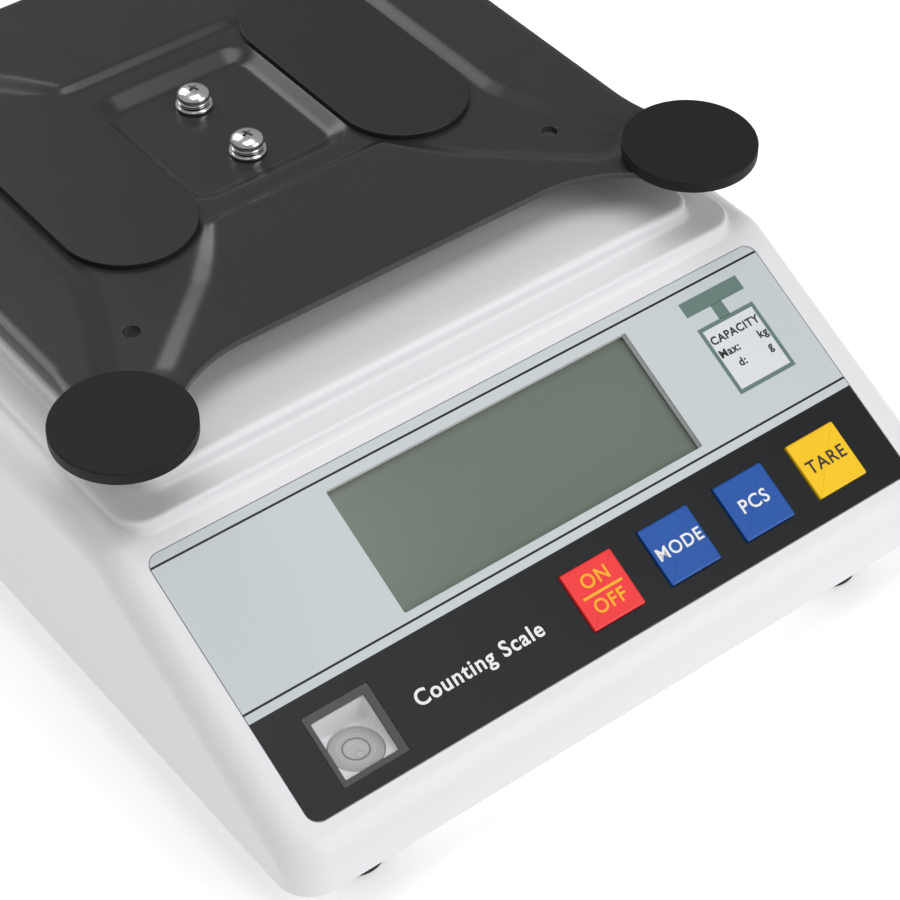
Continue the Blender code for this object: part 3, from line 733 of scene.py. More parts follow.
def ground(y):
    """The height in millimetres that a step's foot meets, level or down the slope."""
    return min(SHOULDER, PANEL_START.z / MM + (y - PANEL_START.y / MM) * math.tan(TILT))


def raised_step(name, step, rise_from, foot, follows_slope=False):
    """A flat step: its outline, drawn in ring by ring up a hollow foot and a round edge."""
    half, front, back, top, corner, edge = step
    outline = rounded(
        2 * (half + foot), back - front + 2 * foot, corner + foot, (0, (front + back) / 2), 10
    )
    piece = plate(name, [outline], rise_from - 9, rise_from - 0.3)
    quarter = [math.radians(90 * i / 6) for i in range(7)]
    path = [(foot * math.sin(t), rise_from + foot * (1 - math.cos(t))) for t in quarter]
    path += [(foot + edge * (1 - math.cos(t)), top - edge + edge * math.sin(t)) for t in quarter]
    edit(piece)
    pick(piece, "faces", lambda f: f.normal.z > 0.9)
    across, height = 0.0, rise_from - 0.3
    for reach, level in path:
        inward = max(reach - across, 0.002)
        bpy.ops.mesh.inset(thickness=inward * MM, depth=(level - height) * MM)
        across, height = reach, level
    done()
    if follows_slope:
        for vert in piece.data.vertices:
            share = (top - edge - vert.co.z / MM) / (top - edge - rise_from)
            sink = SHOULDER - ground(vert.co.y / MM)
            vert.co.z -= sink * min(max(share, 0.0), 1.0) * MM
    return piece


LEDGE = (103.2, -71.3, 146.5, 77.3, 9.0, 1.2)
PLATEAU = (93.6, -62.7, 137.7, 82.0, 7.0, 1.9)
WALL = 2.5
CAVITY_RADII = (9.5, 5.5)
PILLAR_GAP = 8.0
JACK_RADIUS = 5.6
OVERLAY = (205.0, 79.7, 36.85, 3.8)
RECESS = 0.7
FILM_LOW = -0.4


def build_housing(sizes):
    low, high, _ = box_of("top_housing")
    body = wedge("housing_shell", 0.0)
    round_body(body, low.z, sizes.corner_radius / MM, sizes.edge_radius / MM)
    carve(body, raised_step("ledge", LEDGE, SHOULDER, sizes.fillet / MM, True), "UNION")
    carve(body, raised_step("plateau", PLATEAU, LEDGE[3], sizes.fillet / MM), "UNION")
    cavity = wedge("cavity", WALL, sink=5.0)
    round_body(cavity, 0.0, *CAVITY_RADII)
    carve(body, cavity)
    half, front, back, top = PLATEAU[:4]
    hollow = plate(
        "hollow",
        [rounded(2 * (half - WALL), back - front - 2 * WALL, 5.0, (0, (front + back) / 2))],
        60.0,
        top - WALL,
    )
    carve(body, hollow)
    width, depth, centre, corner = OVERLAY
    pocket = plate("pocket", [rounded(width + 0.6, depth + 0.6, corner)], -RECESS, 4.0)
    carve(body, on_panel(pocket, 0, centre))
    for tool in panel_openings():
        carve(body, tool)
    start_at, end_at, _ = box_of("load_pillar")
    low_corner = (start_at.x - PILLAR_GAP, start_at.y - PILLAR_GAP, 70)
    high_corner = (end_at.x + PILLAR_GAP, end_at.y + PILLAR_GAP, 90)
    carve(body, cube("well", low_corner, high_corner))
    start_at, end_at, _ = box_of("power_socket")
    place = (start_at + end_at) / 2
    jack = cylinder("jack", JACK_RADIUS, -20, 20, sides=64)
    jack.rotation_euler = (math.pi / 2, 0, 0)
    jack.location = Vector((place.x, high.y, place.z)) * MM
    carve(body, settle(jack))
    smooth(body, 30)
    return finish_piece(body, "housing", "housing_white", white_moulding(), "top_housing")


def panel_uv(name):
    """The middle of a node on the panel as (u, v) in millimetres."""
    low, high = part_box(name)
    reach = (low + high) / 2 - PANEL_START
    return reach.x / MM, -reach.dot(SLOPE) / MM


KEY = 17.6
SCREEN = (102.0, 38.2)
WINDOW = 20.4


def panel_openings():
    """Tools for the display, the keys and the level, each upright through the panel."""
    tools = []
    u, v = panel_uv("lcd_glass")
    tools.append(on_panel(plate("screen_hole", [rounded(*SCREEN, 0.4, steps=3)], -8, 4), u, v))
    for key in KEYS:
        u, v = panel_uv(key + "_key")
        hole = plate(key + "_hole", [rounded(KEY + 0.3, KEY + 0.3, 0.4, steps=3)], -8, 4)
        tools.append(on_panel(hole, u, v))
    low, high, _ = box_of("level_pocket")
    gap = 0.4
    low_corner, high_corner = (low.x - gap, low.y - gap, 30), (high.x + gap, high.y + gap, 70)
    return tools + [cube("level_hole", low_corner, high_corner)]


# ---------------------------------------------------------------- overlay and its print


LINES_V = (0.0, 44.12)
BAND_V = 46.83
LINE = 0.62


def print_colours(tree):
    """Silver with two fine lines, and black below, read from the film's own map."""
    place = node(tree, "ShaderNodeUVMap", uv_map="panel").outputs[0]
    v = node(tree, "ShaderNodeSeparateXYZ", {0: place}).outputs["Y"]
    fleck = node(tree, "ShaderNodeTexNoise", {"Vector": place, "Scale": 9.0, "Detail": 2.0})
    silver = blend_colour(
        tree, fleck.outputs["Fac"], shade(tones().silver, 0.94), shade(tones().silver, 1.06)
    )
    lines = None
    for line in LINES_V:
        away = maths(tree, "ABSOLUTE", maths(tree, "SUBTRACT", v, line))
        near = maths(tree, "LESS_THAN", away, LINE / 2)
        lines = near if lines is None else maths(tree, "MAXIMUM", lines, near)
    dark = maths(tree, "MAXIMUM", lines, maths(tree, "GREATER_THAN", v, BAND_V))
    return blend_colour(tree, dark, silver, tuple(tones().band))


def overlay_film():
    return surface(
        "printed_film",
        tones().silver,
        0.36,
        grain=3600,
        depth=0.012,
        spread=0.05,
        vary=0.0,
        base=print_colours,
        Specular_IOR_Level=0.35,
    )


def map_panel(piece):
    """A map whose coordinates are u and v in millimetres on the panel."""
    uv = piece.data.uv_layers.new(name="panel")
    for loop in piece.data.loops:
        reach = piece.data.vertices[loop.vertex_index].co - PANEL_START
        uv.data[loop.index].uv = (reach.x / MM, -reach.dot(SLOPE) / MM)


def build_overlay():
    width, depth, centre, corner = OVERLAY
    outlines = [rounded(width, depth, corner)]
    u, v = panel_uv("lcd_glass")
    outlines.append(rounded(*SCREEN, 0.5, (u, centre - v), 3))
    for key in KEYS:
        u, v = panel_uv(key + "_key")
        outlines.append(rounded(KEY + 0.3, KEY + 0.3, 0.5, (u, centre - v), 3))
    u, v = panel_uv("level_frame")
    outlines.append(rounded(WINDOW + 0.3, WINDOW + 0.3, 0.4, (u, centre - v), 3))
    film = plate("overlay_film", outlines, FILM_LOW, 0.0)
    film = on_panel(film, 0, centre)
    map_panel(film)
    smooth(film, 30, weighted=False)
    finish_piece(film, "housing", "overlay_film", overlay_film(), "panel_overlay")
    build_print()


PRINT_OUT = 0.02
SYMBOL = (81.6, 8.0)


WHITE_PRINT = ("white_ink", (0.86, 0.87, 0.88))
BLACK_PRINT = ("black_ink", (0.02, 0.02, 0.022))
CAPTION = ("Counting Scale", 6.1, -40.6, 62.6)
CAPACITY = (
    ("CAPACITY", 9.4, 0.0),
    ("Max:      kg", 13.8, 0.0),
    ("d:       g", 18.2, 1.2),
)


def build_print():
    """The caption on the black band and the capacity symbol beside the display."""
    text, size, u, v = CAPTION
    caption = on_panel(lettering("caption_print", text, size, 0.12), u, v, PRINT_OUT)
    finish_piece(caption, "housing", "housing_white", ink(*WHITE_PRINT))
    u, v = SYMBOL
    bar = [(-10.6, 0.0), (10.6, 0.0), (10.6, 4.6), (-10.6, 4.6)]
    stem = [(-2.0, -4.6), (2.0, -4.6), (2.0, 0.2), (-2.0, 0.2)]
    frame_outline = [(-10.3, -26.2), (10.3, -26.2), (10.3, -4.4), (-10.3, -4.4)]
    inside = [(x * 0.885, -15.3 + (y + 15.3) * 0.89) for x, y in frame_outline]
    strokes = [
        plate("bar", [bar], 0, 0.04),
        plate("stem", [stem], 0, 0.04),
        plate("box", [frame_outline, inside], 0, 0.04),
    ]
    symbol = on_panel(join("capacity_symbol", strokes), u, v, PRINT_OUT)
    finish_piece(symbol, "housing", "overlay_film", ink("symbol_ink", tones().symbol))
    label = on_panel(plate("capacity_label", [inside], 0, 0.03), u, v, PRINT_OUT)
    finish_piece(label, "housing", "housing_white", ink("label_ink", (0.74, 0.77, 0.79)))
    words = [
        on_panel(lettering("row", text, 3.4, 0.10), u + shift, v + down, PRINT_OUT + 0.04)
        for text, down, shift in CAPACITY
    ]
    black = ink(*BLACK_PRINT)
    finish_piece(join("capacity_words", words), "housing", "black_plastic", black)


# ---------------------------------------------------------------- keys


LEGENDS = {
    "on_off": (("ON", 5.6, 3.7), ("OFF", 5.6, -3.7)),
    "mode": (("MODE", 5.2, 0.0),),
    "pieces": (("PCS", 5.6, 0.0),),
    "tare": (("TARE", 5.4, 0.0),),
}
RULE = (6.6, 0.38, 0.025)
KEY_TOP = 0.9
CAP_LOW = -3.6
CAP_HOLLOW = 2.6


def build_cap(name, sizes):
    """A square cap with a sloping edge and a hollow back, on the flange that holds it in."""
    half = KEY / 2 - 0.1
    cap = cube(name, (-half, -half, CAP_LOW), (half, half, KEY_TOP))
    bevel(cap, is_upright, 0.5, 4)
    bevel(cap, bent_above(KEY_TOP), sizes.key_bevel / MM, 4, profile=0.6)
    edit(cap)
    pick(cap, "faces", lambda f: f.normal.z < -0.9)
    bpy.ops.mesh.inset(thickness=1.2 * MM, depth=0)
    bpy.ops.mesh.extrude_region_move(TRANSFORM_OT_translate={"value": (0, 0, CAP_HOLLOW * MM)})
    done()
    flange = [rounded(KEY + 2.8, KEY + 2.8, 1.0), rounded(KEY - 1.0, KEY - 1.0, 0.4)]
    return join(name, [cap, plate("flange", flange, CAP_LOW, CAP_LOW + 0.9)])


def build_keys(sizes):
    finishes = tones()
    looks = {
        "on_off": ("red_key", finishes.red, ("orange_ink", finishes.orange), "yellow_key"),
        "mode": ("blue_key", finishes.blue, WHITE_PRINT, "housing_white"),
        "pieces": ("blue_key", finishes.blue, WHITE_PRINT, "housing_white"),
        "tare": ("yellow_key", finishes.yellow, BLACK_PRINT, "black_plastic"),
    }
    for key in KEYS:
        slot, tone, pigment, ink_slot = looks[key]
        u, v = panel_uv(key + "_key")
        cap = smooth(on_panel(build_cap(key + "_cap", sizes), u, v), 35)
        finish_piece(cap, key + "_button", slot, key_finish(slot, tone), key + "_key")
        rows = []
        for text, size, up in LEGENDS[key]:
            row = lettering(key + "_legend", text, size, 0.07)
            row.location.y = up * MM
            rows.append(settle(row))
        if key == "on_off":
            rows.append(cube("rule", [-side for side in RULE], RULE))
        legend = join(key + "_legend", rows) if len(rows) > 1 else rows[0]
        on_panel(legend, u, v, KEY_TOP + 0.02)
        finish_piece(legend, key + "_button", ink_slot, ink(*pigment))


# ---------------------------------------------------------------- display


def screen_colours(tree):
    """The unlit display's grey-green, a little uneven."""
    place = node(tree, "ShaderNodeTexCoord").outputs["Object"]
    veil = node(tree, "ShaderNodeTexNoise", {"Vector": place, "Scale": 14.0, "Detail": 1.0})
    return blend_colour(
        tree, veil.outputs["Fac"], shade(tones().screen, 0.95), shade(tones().screen, 1.05)
    )


def display_glass():
    return surface(
        "display_glass",
        tones().screen,
        0.22,
        grain=5000,
        depth=0.004,
        spread=0.04,
        vary=0.0,
        base=screen_colours,
    )


GLASS = (110.0, 45.0, 0.8)
GLASS_HEIGHTS = (-5.7, -2.9)


def build_display():
    u, v = panel_uv("lcd_glass")
    glass = plate("display_glass", [rounded(*GLASS)], *GLASS_HEIGHTS)
    bevel(glass, lambda e: min(v.co.z for v in e.verts) > -2.95 * MM, 0.3, 2)
    smooth(on_panel(glass, u, v), 35)
    finish_piece(glass, "housing", "screen", display_glass(), "lcd_glass")


# ---------------------------------------------------------------- bubble level


PANE = 16.2
PANE_SHIFT = (-0.45, -0.35)
VIAL_RING = (3.55, 0.26, 72)
BUBBLE = (1.25, 0.12, 48)
BUBBLE_SHIFT = (-0.2, -1.9)


def torus(name, at, height, major, minor, segments):
    clear()
    bpy.ops.mesh.primitive_torus_add(
        location=Vector((*at, height)) * MM,
        major_radius=major * MM,
        minor_radius=minor * MM,
        major_segments=segments,
        minor_segments=8,
    )
    return smooth(settle(start(name)), 60, False)


def build_level():
    low, high, _ = box_of("level_pocket")
    vial_low, vial_high, at = box_of("level_vial")
    radius = (vial_high.x - vial_low.x) / 2
    bottom, top = vial_low.z, vial_high.z
    shelf = top + 0.2
    pocket = cube("level_well", low, high + Vector((0, 0, 3)))
    inside = cube("inside", (low.x + 1.5, low.y + 1.5, shelf), (high.x - 1.5, high.y - 1.5, 80))
    foot = (shelf + 0.1) * MM
    bevel(inside, lambda e: min(v.co.z for v in e.verts) < foot or is_upright(e), 0.8, 4)
    carve(pocket, inside)
    carve(pocket, cylinder("seat", radius + 0.3, bottom - 5, shelf + 2, at, 64))
    lid = cube("lid", (-60, -60, 0), (60, 60, 60))
    carve(pocket, on_panel(lid, at[0], panel_uv("level_frame")[1], -RECESS - 0.2))
    smooth(pocket, 30)
    finish_piece(pocket, "housing", "housing_white", white_moulding(), "level_pocket")
    profile = [(0, top), (radius - 0.6, top), (radius - 0.15, top - 0.2), (radius, top - 0.7)]
    profile += [(radius, bottom + 0.4), (radius - 0.4, bottom), (0, bottom)]
    vial = smooth(lathe("vial_body", profile, at), 40)
    finish_piece(vial, "housing", "clear_plastic", vial_finish(), "level_vial")
    over, under = top + 0.06, top - 0.04
    dome = [(0, over), (radius - 1.4, over), (radius - 1.2, under), (0, under)]
    liquid = smooth(lathe("vial_face", dome, at), 40)
    finish_piece(liquid, "housing", "clear_plastic", vial_face_finish())
    ring = torus("vial_ring", at, top + 0.08, *VIAL_RING)
    finish_piece(ring, "housing", "black_plastic", ink("black_ink", (0.02,) * 3))
    spot = (at[0] + BUBBLE_SHIFT[0], at[1] + BUBBLE_SHIFT[1])
    bubble = torus("vial_bubble", spot, top + 0.08, *BUBBLE)
    finish_piece(bubble, "housing", "clear_plastic", ink("bubble_rim", (0.30, 0.31, 0.32)))
    u, v = panel_uv("level_frame")
    opening = rounded(PANE + 0.4, PANE + 0.4, 0.3, PANE_SHIFT, 3)
    rim = plate("window_border", [rounded(WINDOW, WINDOW, 0.4, steps=3), opening], -0.6, 0.0)
    smooth(on_panel(rim, u, v), 30, False)
    grey_film = surface("grey_film", tones().window, 0.3, grain=3000, depth=0.01)
    finish_piece(rim, "housing", "grey_frame", grey_film, "level_frame")
    pane = plate("window_pane", [rounded(PANE, PANE, 0.3, PANE_SHIFT, 3)], -0.5, -0.1)
    smooth(on_panel(pane, u, v), 30, False)
    finish_piece(pane, "housing", "clear_plastic", window_film(), "level_window")


def vial_finish():
    return surface("vial_grey", (0.30, 0.31, 0.32), 0.15, grain=900, depth=0.02, vary=0.03)


def vial_colours(tree):
    """The liquid seen through the vial, darkened towards its rim by painted shade, with faint rings
    there.
    """
    low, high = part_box("level_vial")
    place = node(tree, "ShaderNodeTexCoord").outputs["Object"]
    middle = (*((low + high) / 2).xy, high.z)
    away = node(tree, "ShaderNodeVectorMath", {0: place, 1: middle}, operation="DISTANCE")
    share = maths(tree, "DIVIDE", away.outputs["Value"], (high.x - low.x) / 2)
    rings = maths(tree, "SINE", maths(tree, "MULTIPLY", share, 44.0))
    rings = maths(tree, "MULTIPLY", maths(tree, "GREATER_THAN", share, 0.52), rings)
    # painted shade: the liquid grows darker towards the vial's rim, with the faint rings added in
    painted_rim_shade = maths(tree, "POWER", share, 3.0)
    painted_rim_shade = maths(tree, "ADD", painted_rim_shade, maths(tree, "MULTIPLY", rings, 0.14), clamp=True)
    return blend_colour(tree, painted_rim_shade, (0.47, 0.48, 0.49), (0.20, 0.205, 0.21))


def vial_face_finish():
    return surface(
        "vial_face",
        (0.4, 0.4, 0.4),
        0.12,
        grain=500,
        depth=0.05,
        vary=0.02,
        base=vial_colours,
    )


def window_film():
    if "window_film" not in FINISHES:
        made, tree, shader = blank(
            "window_film", Base_Color=(0.95, 0.96, 0.96, 1), Alpha=0.12, Specular_IOR_Level=0.5
        )
        gloss = use_group(tree, "handling", Roughness=0.08, Spread=0.05, Scale=120.0)
        tree.links.new(gloss.outputs["Roughness"], shader.inputs["Roughness"])
        FINISHES["window_film"] = made
    return FINISHES["window_film"]


# ---------------------------------------------------------------- pan support


RAISED, FLOOR, DISH = 96.5, 94.7, 91.5
SHEET = 2.0
EDGE = (96.0, 83.7)
EAR = (94.2, 95.3, 12.4)
FLARE_STARTS = (50.0, 60.6)
SLOPE_WIDTHS = (2.4, 3.2)
DISH_FOOT = (45.2, 47.2, 4.0)
DISH_SLOPE = 5.6
ARM_HOLES = (70.5, 62.1, 2.5)


def arc(centre, radius, start_angle, end_angle, steps):
    turns = [
        math.radians(start_angle + (end_angle - start_angle) * i / steps) for i in range(steps + 1)
    ]
    return [(centre[0] + radius * math.cos(t), centre[1] + radius * math.sin(t)) for t in turns]


def ear_outline():
    """The sheet's edge round its front right ear, from the front edge to the right one."""
    ear = Vector(EAR[:2])
    radius = EAR[2]

    def flare(along, beyond):
        return (along**2 + beyond**2 - radius**2) / (2 * (radius + beyond))

    front = flare(ear.x - FLARE_STARTS[0], ear.y - EDGE[1])
    side = flare(ear.y - FLARE_STARTS[1], ear.x - EDGE[0])
    lower = Vector((FLARE_STARTS[0], -EDGE[1] - front))
    outer = Vector((EDGE[0] + side, -FLARE_STARTS[1]))
    tip = Vector((ear.x, -ear.y))
    turn_in = math.degrees(math.atan2(*(tip - lower).yx))
    turn_out = math.degrees(math.atan2(*(outer - tip).yx))
    return (
        arc(lower, front, 90, turn_in, 30)
        + arc(tip, radius, turn_in - 180, turn_out, 40)[1:]
        + arc(outer, side, turn_out + 180, 180, 30)[1:]
    )


def mirrored(quarter):
    """A whole outline from its front right quarter, anticlockwise."""
    half = quarter + [(x, -y) for x, y in reversed(quarter)]
    return half + [(-x, -y) for x, y in half]


def floor_outline():
    """The foot line of the X-shaped floor, between the four raised flats."""
    quarter = [(30.5, -36.1), (47.5, -55.1), (74.2, -78.4)]
    quarter += arc((78.5, -72.7), 6.6, 235, 325, 8)
    quarter += [(73.0, -53.5), (68.2, -41.0), (67.0, -35.0)]
    return mirrored(quarter)


def feet_on(points, outline):
    """For each edge of an outline: its start, its run and the nearest place to each point."""
    loop = np.array(outline)
    for a, b in zip(loop, np.roll(loop, -1, axis=0)):
        run = b - a
        t = np.clip(((points - a) @ run) / max(run @ run, 1e-12), 0, 1)
        yield a, run, a + t[:, None] * run


def outline_distance(points, outline):
    """Signed distances of (n, 2) points to an outline, positive outside."""
    nearest = np.full(len(points), 1e9)
    inside = np.zeros(len(points), bool)
    for a, run, foot in feet_on(points, outline):
        nearest = np.minimum(nearest, np.hypot(*(points - foot).T))
        spans = (a[1] > points[:, 1]) != (a[1] + run[1] > points[:, 1])
        rise = run[1] if run[1] else 1e-12
        inside ^= spans & (points[:, 0] < a[0] + (points[:, 1] - a[1]) / rise * run[0])
    return np.where(inside, -nearest, nearest)


def nearest_on(points, outline):
    best = np.full(len(points), 1e9)
    found = points.copy()
    for _, _, foot in feet_on(points, outline):
        gap = np.hypot(*(points - foot).T)
        closer = gap < best
        best[closer] = gap[closer]
        found[closer] = foot[closer]
    return found


def soft_ramp(t, blend):
    """From 0 to 1 as t does, straight between two rounded bends."""
    start_bend = (t + blend) ** 2 / (4 * blend)
    end_bend = 1 - (1 + blend - t) ** 2 / (4 * blend)
    value = np.where(t < blend, start_bend, np.where(t > 1 - blend, end_bend, t))
    return np.where(t <= -blend, 0.0, np.where(t >= 1 + blend, 1.0, value))


def sheet_heights(points):
    """The pressed sheet's upper face over points in millimetres from its centre."""
    turn = np.clip((np.abs(points[:, 0]) - 24) / 16, 0, 1)
    width = SLOPE_WIDTHS[0] + SLOPE_WIDTHS[1] * turn * turn * (3 - 2 * turn)
    rise = soft_ramp(outline_distance(points, floor_outline()) / width, 0.12)
    fall = 1 - soft_ramp(outline_distance(points, rounded(*DISH_FOOT)) / DISH_SLOPE, 0.11)
    return FLOOR + (RAISED - FLOOR) * rise - (FLOOR - DISH) * fall


def places_of(mesh):
    flat = np.empty(len(mesh.vertices) * 3)
    mesh.vertices.foreach_get("co", flat)
    return flat.reshape(-1, 3)


def trim(sheet, outline):
    """Deletes the grid beyond an outline and draws its new rim out to it."""
    mesh = sheet.data
    outside = outline_distance(places_of(mesh)[:, :2] / MM, outline) > -0.25
    edit(sheet, "VERT")
    shape = bmesh.from_edit_mesh(mesh)
    for vert, out in zip(shape.verts, outside):
        vert.select_set(bool(out))
    bmesh.update_edit_mesh(mesh)
    bpy.ops.mesh.delete(type="VERT")
    done()
    shape = bmesh.new()
    shape.from_mesh(mesh)
    loose = [v for v in shape.verts if not v.link_faces]
    bmesh.ops.delete(shape, geom=loose, context="VERTS")
    rim = [v for v in shape.verts if v.is_boundary]
    for vert, place in zip(rim, nearest_on(np.array([v.co.xy for v in rim]) / MM, outline)):
        vert.co.x, vert.co.y = place * MM
    shape.to_mesh(mesh)
    shape.free()


def build_pan_support(sizes):
    """A grid trimmed to the sheet's outline, pressed to its heights and given its thickness."""
    _, _, centre = box_of("pan_support")
    outline = mirrored(ear_outline())
    reach = max(max(abs(x), abs(y)) for x, y in outline) + 2
    count = int(2 * reach * MM / sizes.sheet_pitch)
    clear()
    bpy.ops.mesh.primitive_grid_add(
        x_subdivisions=count, y_subdivisions=count, size=2 * reach * MM, location=(0, 0, 0)
    )
    sheet = start("pressed_sheet")
    trim(sheet, outline)
    places = places_of(sheet.data)
    places[:, 2] = sheet_heights(places[:, :2] / MM) * MM
    places[:, :2] += np.array(centre) * MM
    sheet.data.vertices.foreach_set("co", places.ravel())
    sheet.data.update()
    apply(sheet, "SOLIDIFY", thickness=SHEET * MM, offset=-1.0, use_even_offset=True)
    bend = math.radians(50)
    apply(sheet, "BEVEL", width=0.3 * MM, segments=2, limit_method="ANGLE", angle_limit=bend)
    across, along, radius = ARM_HOLES
    for sx in (-1, 1):
        for sy in (-1, 1):
            hole = (centre[0] + sx * across, centre[1] + sy * along)
            carve(sheet, cylinder("arm_hole", radius, 85, 99, hole, 40))
    smooth(sheet, 42, weighted=False)
    finish_piece(sheet, "pan_assembly", "black_paint", satin_paint(), "pan_support")


def is_level(edge):
    """Whether a bent edge lies level, to a tenth of a millimetre."""
    return is_bent(edge) and abs(edge.verts[0].co.z - edge.verts[1].co.z) < 0.1 * MM


def build_rubbers(sizes):
    """Four thick discs with their stems, and two thin obround pads."""
    for corner in CORNERS:
        name = "support_disc_" + corner
        low, high, at = box_of(name)
        under = RAISED + 0.3
        disc = cylinder("rubber_disc_" + corner, (high.x - low.x) / 2, under, high.z, at, 128)
        bevel(disc, is_level, sizes.rim_radius / MM, 4)
        stem = [(0, under + 0.5), (2.5, under + 0.5), (2.5, under - SHEET - 0.6)]
        stem += [(3.8, under - SHEET - 0.6), (2.6, low.z + 0.4), (2.0, low.z), (0, low.z)]
        carve(disc, lathe("stem", stem, at, 40), "UNION")
        smooth(disc, 40)
        finish_piece(disc, "pan_assembly", "black_rubber", black_rubber(), name)
    for side in ("left", "right"):
        low, high, at = box_of("pad_" + side)
        size = high - low
        outline = rounded(size.x, size.y, size.x / 2 - 0.01, at, 24)
        pad = plate("rubber_pad_" + side, [outline], low.z, high.z)
        bevel(pad, bent_above(high.z), 0.3, 3)
        smooth(pad, 40)
        finish_piece(pad, "pan_assembly", "black_rubber", foam_pad(), "pad_" + side)


# ---------------------------------------------------------------- fastenings


WASHER_BORE = 2.9
KNOB_HEIGHT = 7.4


def cross_recess(at, top, arm=2.2, deep=1.9):
    """A tool for a cross recess: two tapered blades."""
    blades = []
    for turn in (0, 90):
        blade = cube("blade", (-arm, -0.48, -deep), (arm, 0.48, 1.0))
        edit(blade, "VERT")
        pick(blade, "verts", lambda v: v.co.z < 0)
        bpy.ops.transform.resize(value=(0.45, 0.6, 1), center_override=(0, 0, 0))
        done()
        blade.rotation_euler = (0, 0, math.radians(turn + 20))
        blade.location = (at[0] * MM, at[1] * MM, top * MM)
        blades.append(settle(blade))
    return carve(blades[0], blades[1], "UNION")


def steps_of(degrees, count):
    return [math.radians(degrees * i / count) for i in range(count + 1)]


def build_washer(name, node_name, gap):
    """A rounded ring, slit across where it is a spring washer."""
    low, high, at = box_of(node_name)
    outer = (high.x - low.x) / 2
    edge = 0.22
    ring = [(WASHER_BORE, high.z), (outer - edge, high.z), (outer, high.z - edge)]
    ring += [(outer, low.z + edge), (outer - edge, low.z), (WASHER_BORE, low.z)]
    washer = lathe(name, [*ring, ring[0]], at, 72)
    if gap:
        slit = cube("slit", (2, -gap / 2, -2), (6, gap / 2, 2))
        slit.rotation_euler = (math.radians(24), 0, 0)
        slit.location = (at[0] * MM, at[1] * MM, (low.z + high.z) / 2 * MM)
        carve(washer, settle(slit))
    smooth(washer, 35)
    finish_piece(washer, "pan_assembly", "zinc_steel", zinc(), node_name)


def build_pan_screws():
    for end in ENDS:
        low, high, at = box_of("pan_screw_" + end)
        radius = (high.x - low.x) / 2
        seat = high.z - 3.4
        crown = [(radius * math.sin(t), seat + 1.0 + 2.4 * math.cos(t)) for t in steps_of(90, 9)]
        profile = crown + [(radius - 0.25, seat + 0.1), (radius - 0.5, seat), (2.5, seat)]
        profile += [(2.5, low.z + 0.6), (2.0, low.z), (0, low.z)]
        screw = lathe("pan_bolt_" + end, profile, at, 72)
        carve(screw, cross_recess(at, high.z - 0.35))
        smooth(screw, 35)
        finish_piece(screw, "pan_assembly", "zinc_steel", zinc(), "pan_screw_" + end)
        for kind, gap in (("spring_washer_", 0.9), ("flat_washer_", 0.0)):
            build_washer(kind + "ring_" + end, kind + end, gap)


def build_knob(corner, count):
    """A knob with grip flutes round it, on its stud."""
    low, high, at = box_of("foot_screw_" + corner)
    radius = (high.x - low.x) / 2
    top = low.z + KNOB_HEIGHT
    profile = [(0, high.z), (2.5, high.z), (3.0, high.z - 0.5), (3.0, top)]
    profile += [(radius - 1.0, top), (radius - 0.3, top - 0.3), (radius, top - 1.0)]
    profile += [(radius, low.z + 0.9), (radius - 0.8, low.z), (0, low.z)]
    knob = lathe("foot_knob_" + corner, profile, at, 80)
    away = radius + 0.45
    turns = [math.tau * i / count for i in range(count)]
    spots = [(at[0] + away * math.cos(t), at[1] + away * math.sin(t)) for t in turns]
    flutes = [cylinder("flute", 0.9, low.z - 2, top + 1, spot, 12) for spot in spots]
    carve(knob, join("flutes", flutes))
    return smooth(knob, 35)


def build_sole(corner):
    """A sole with three rings of ribs, hollowed under its middle."""
    low, high, at = box_of("foot_pad_" + corner)
    radius = (high.x - low.x) / 2
    ribs = [(0, high.z), (radius - 0.6, high.z), (radius, high.z - 0.6)]
    for step in range(3):
        level = high.z - 1.6 - 1.3 * step
        ribs += [(radius, level), (radius - 0.35, level - 0.3), (radius - 0.35, level - 0.6)]
        ribs += [(radius, level - 0.9)]
    ribs += [(radius - 0.2, low.z + 0.6), (radius - 0.8, low.z), (radius - 2.6, low.z)]
    ribs += [(radius - 3.2, low.z + 0.7), (0, low.z + 0.7)]
    return smooth(lathe("foot_sole_" + corner, ribs, at, 72), 35)


def build_feet(sizes):
    for corner in CORNERS:
        body = "foot_" + corner
        knob, sole = build_knob(corner, sizes.flutes), build_sole(corner)
        dark = black_moulding()
        finish_piece(knob, body + "_knob", "black_plastic", dark, "foot_screw_" + corner)
        finish_piece(sole, body + "_sole", "black_rubber", black_rubber(), "foot_pad_" + corner)


# ---------------------------------------------------------------- underside and inside


def build_door():
    """The battery door with its grip ribs."""
    low, high, (across, along) = box_of("battery_door")
    door = cube("door_panel", low + Vector((0, 0, 0.6)), high)
    bevel(door, is_upright, 1.0, 4)
    for i in range(7):
        y = along - 24 + 2.4 * i
        rib = cube("rib", (across - 14, y, low.z), (across + 14, y + 1.1, low.z + 0.9))
        bevel(rib, lambda e: min(v.co.z for v in e.verts) < (low.z + 0.1) * MM, 0.25, 3)
        carve(door, rib, "UNION")
    smooth(door, 35)
    finish_piece(door, "battery_hatch", "base_white", base_moulding(), "battery_door")


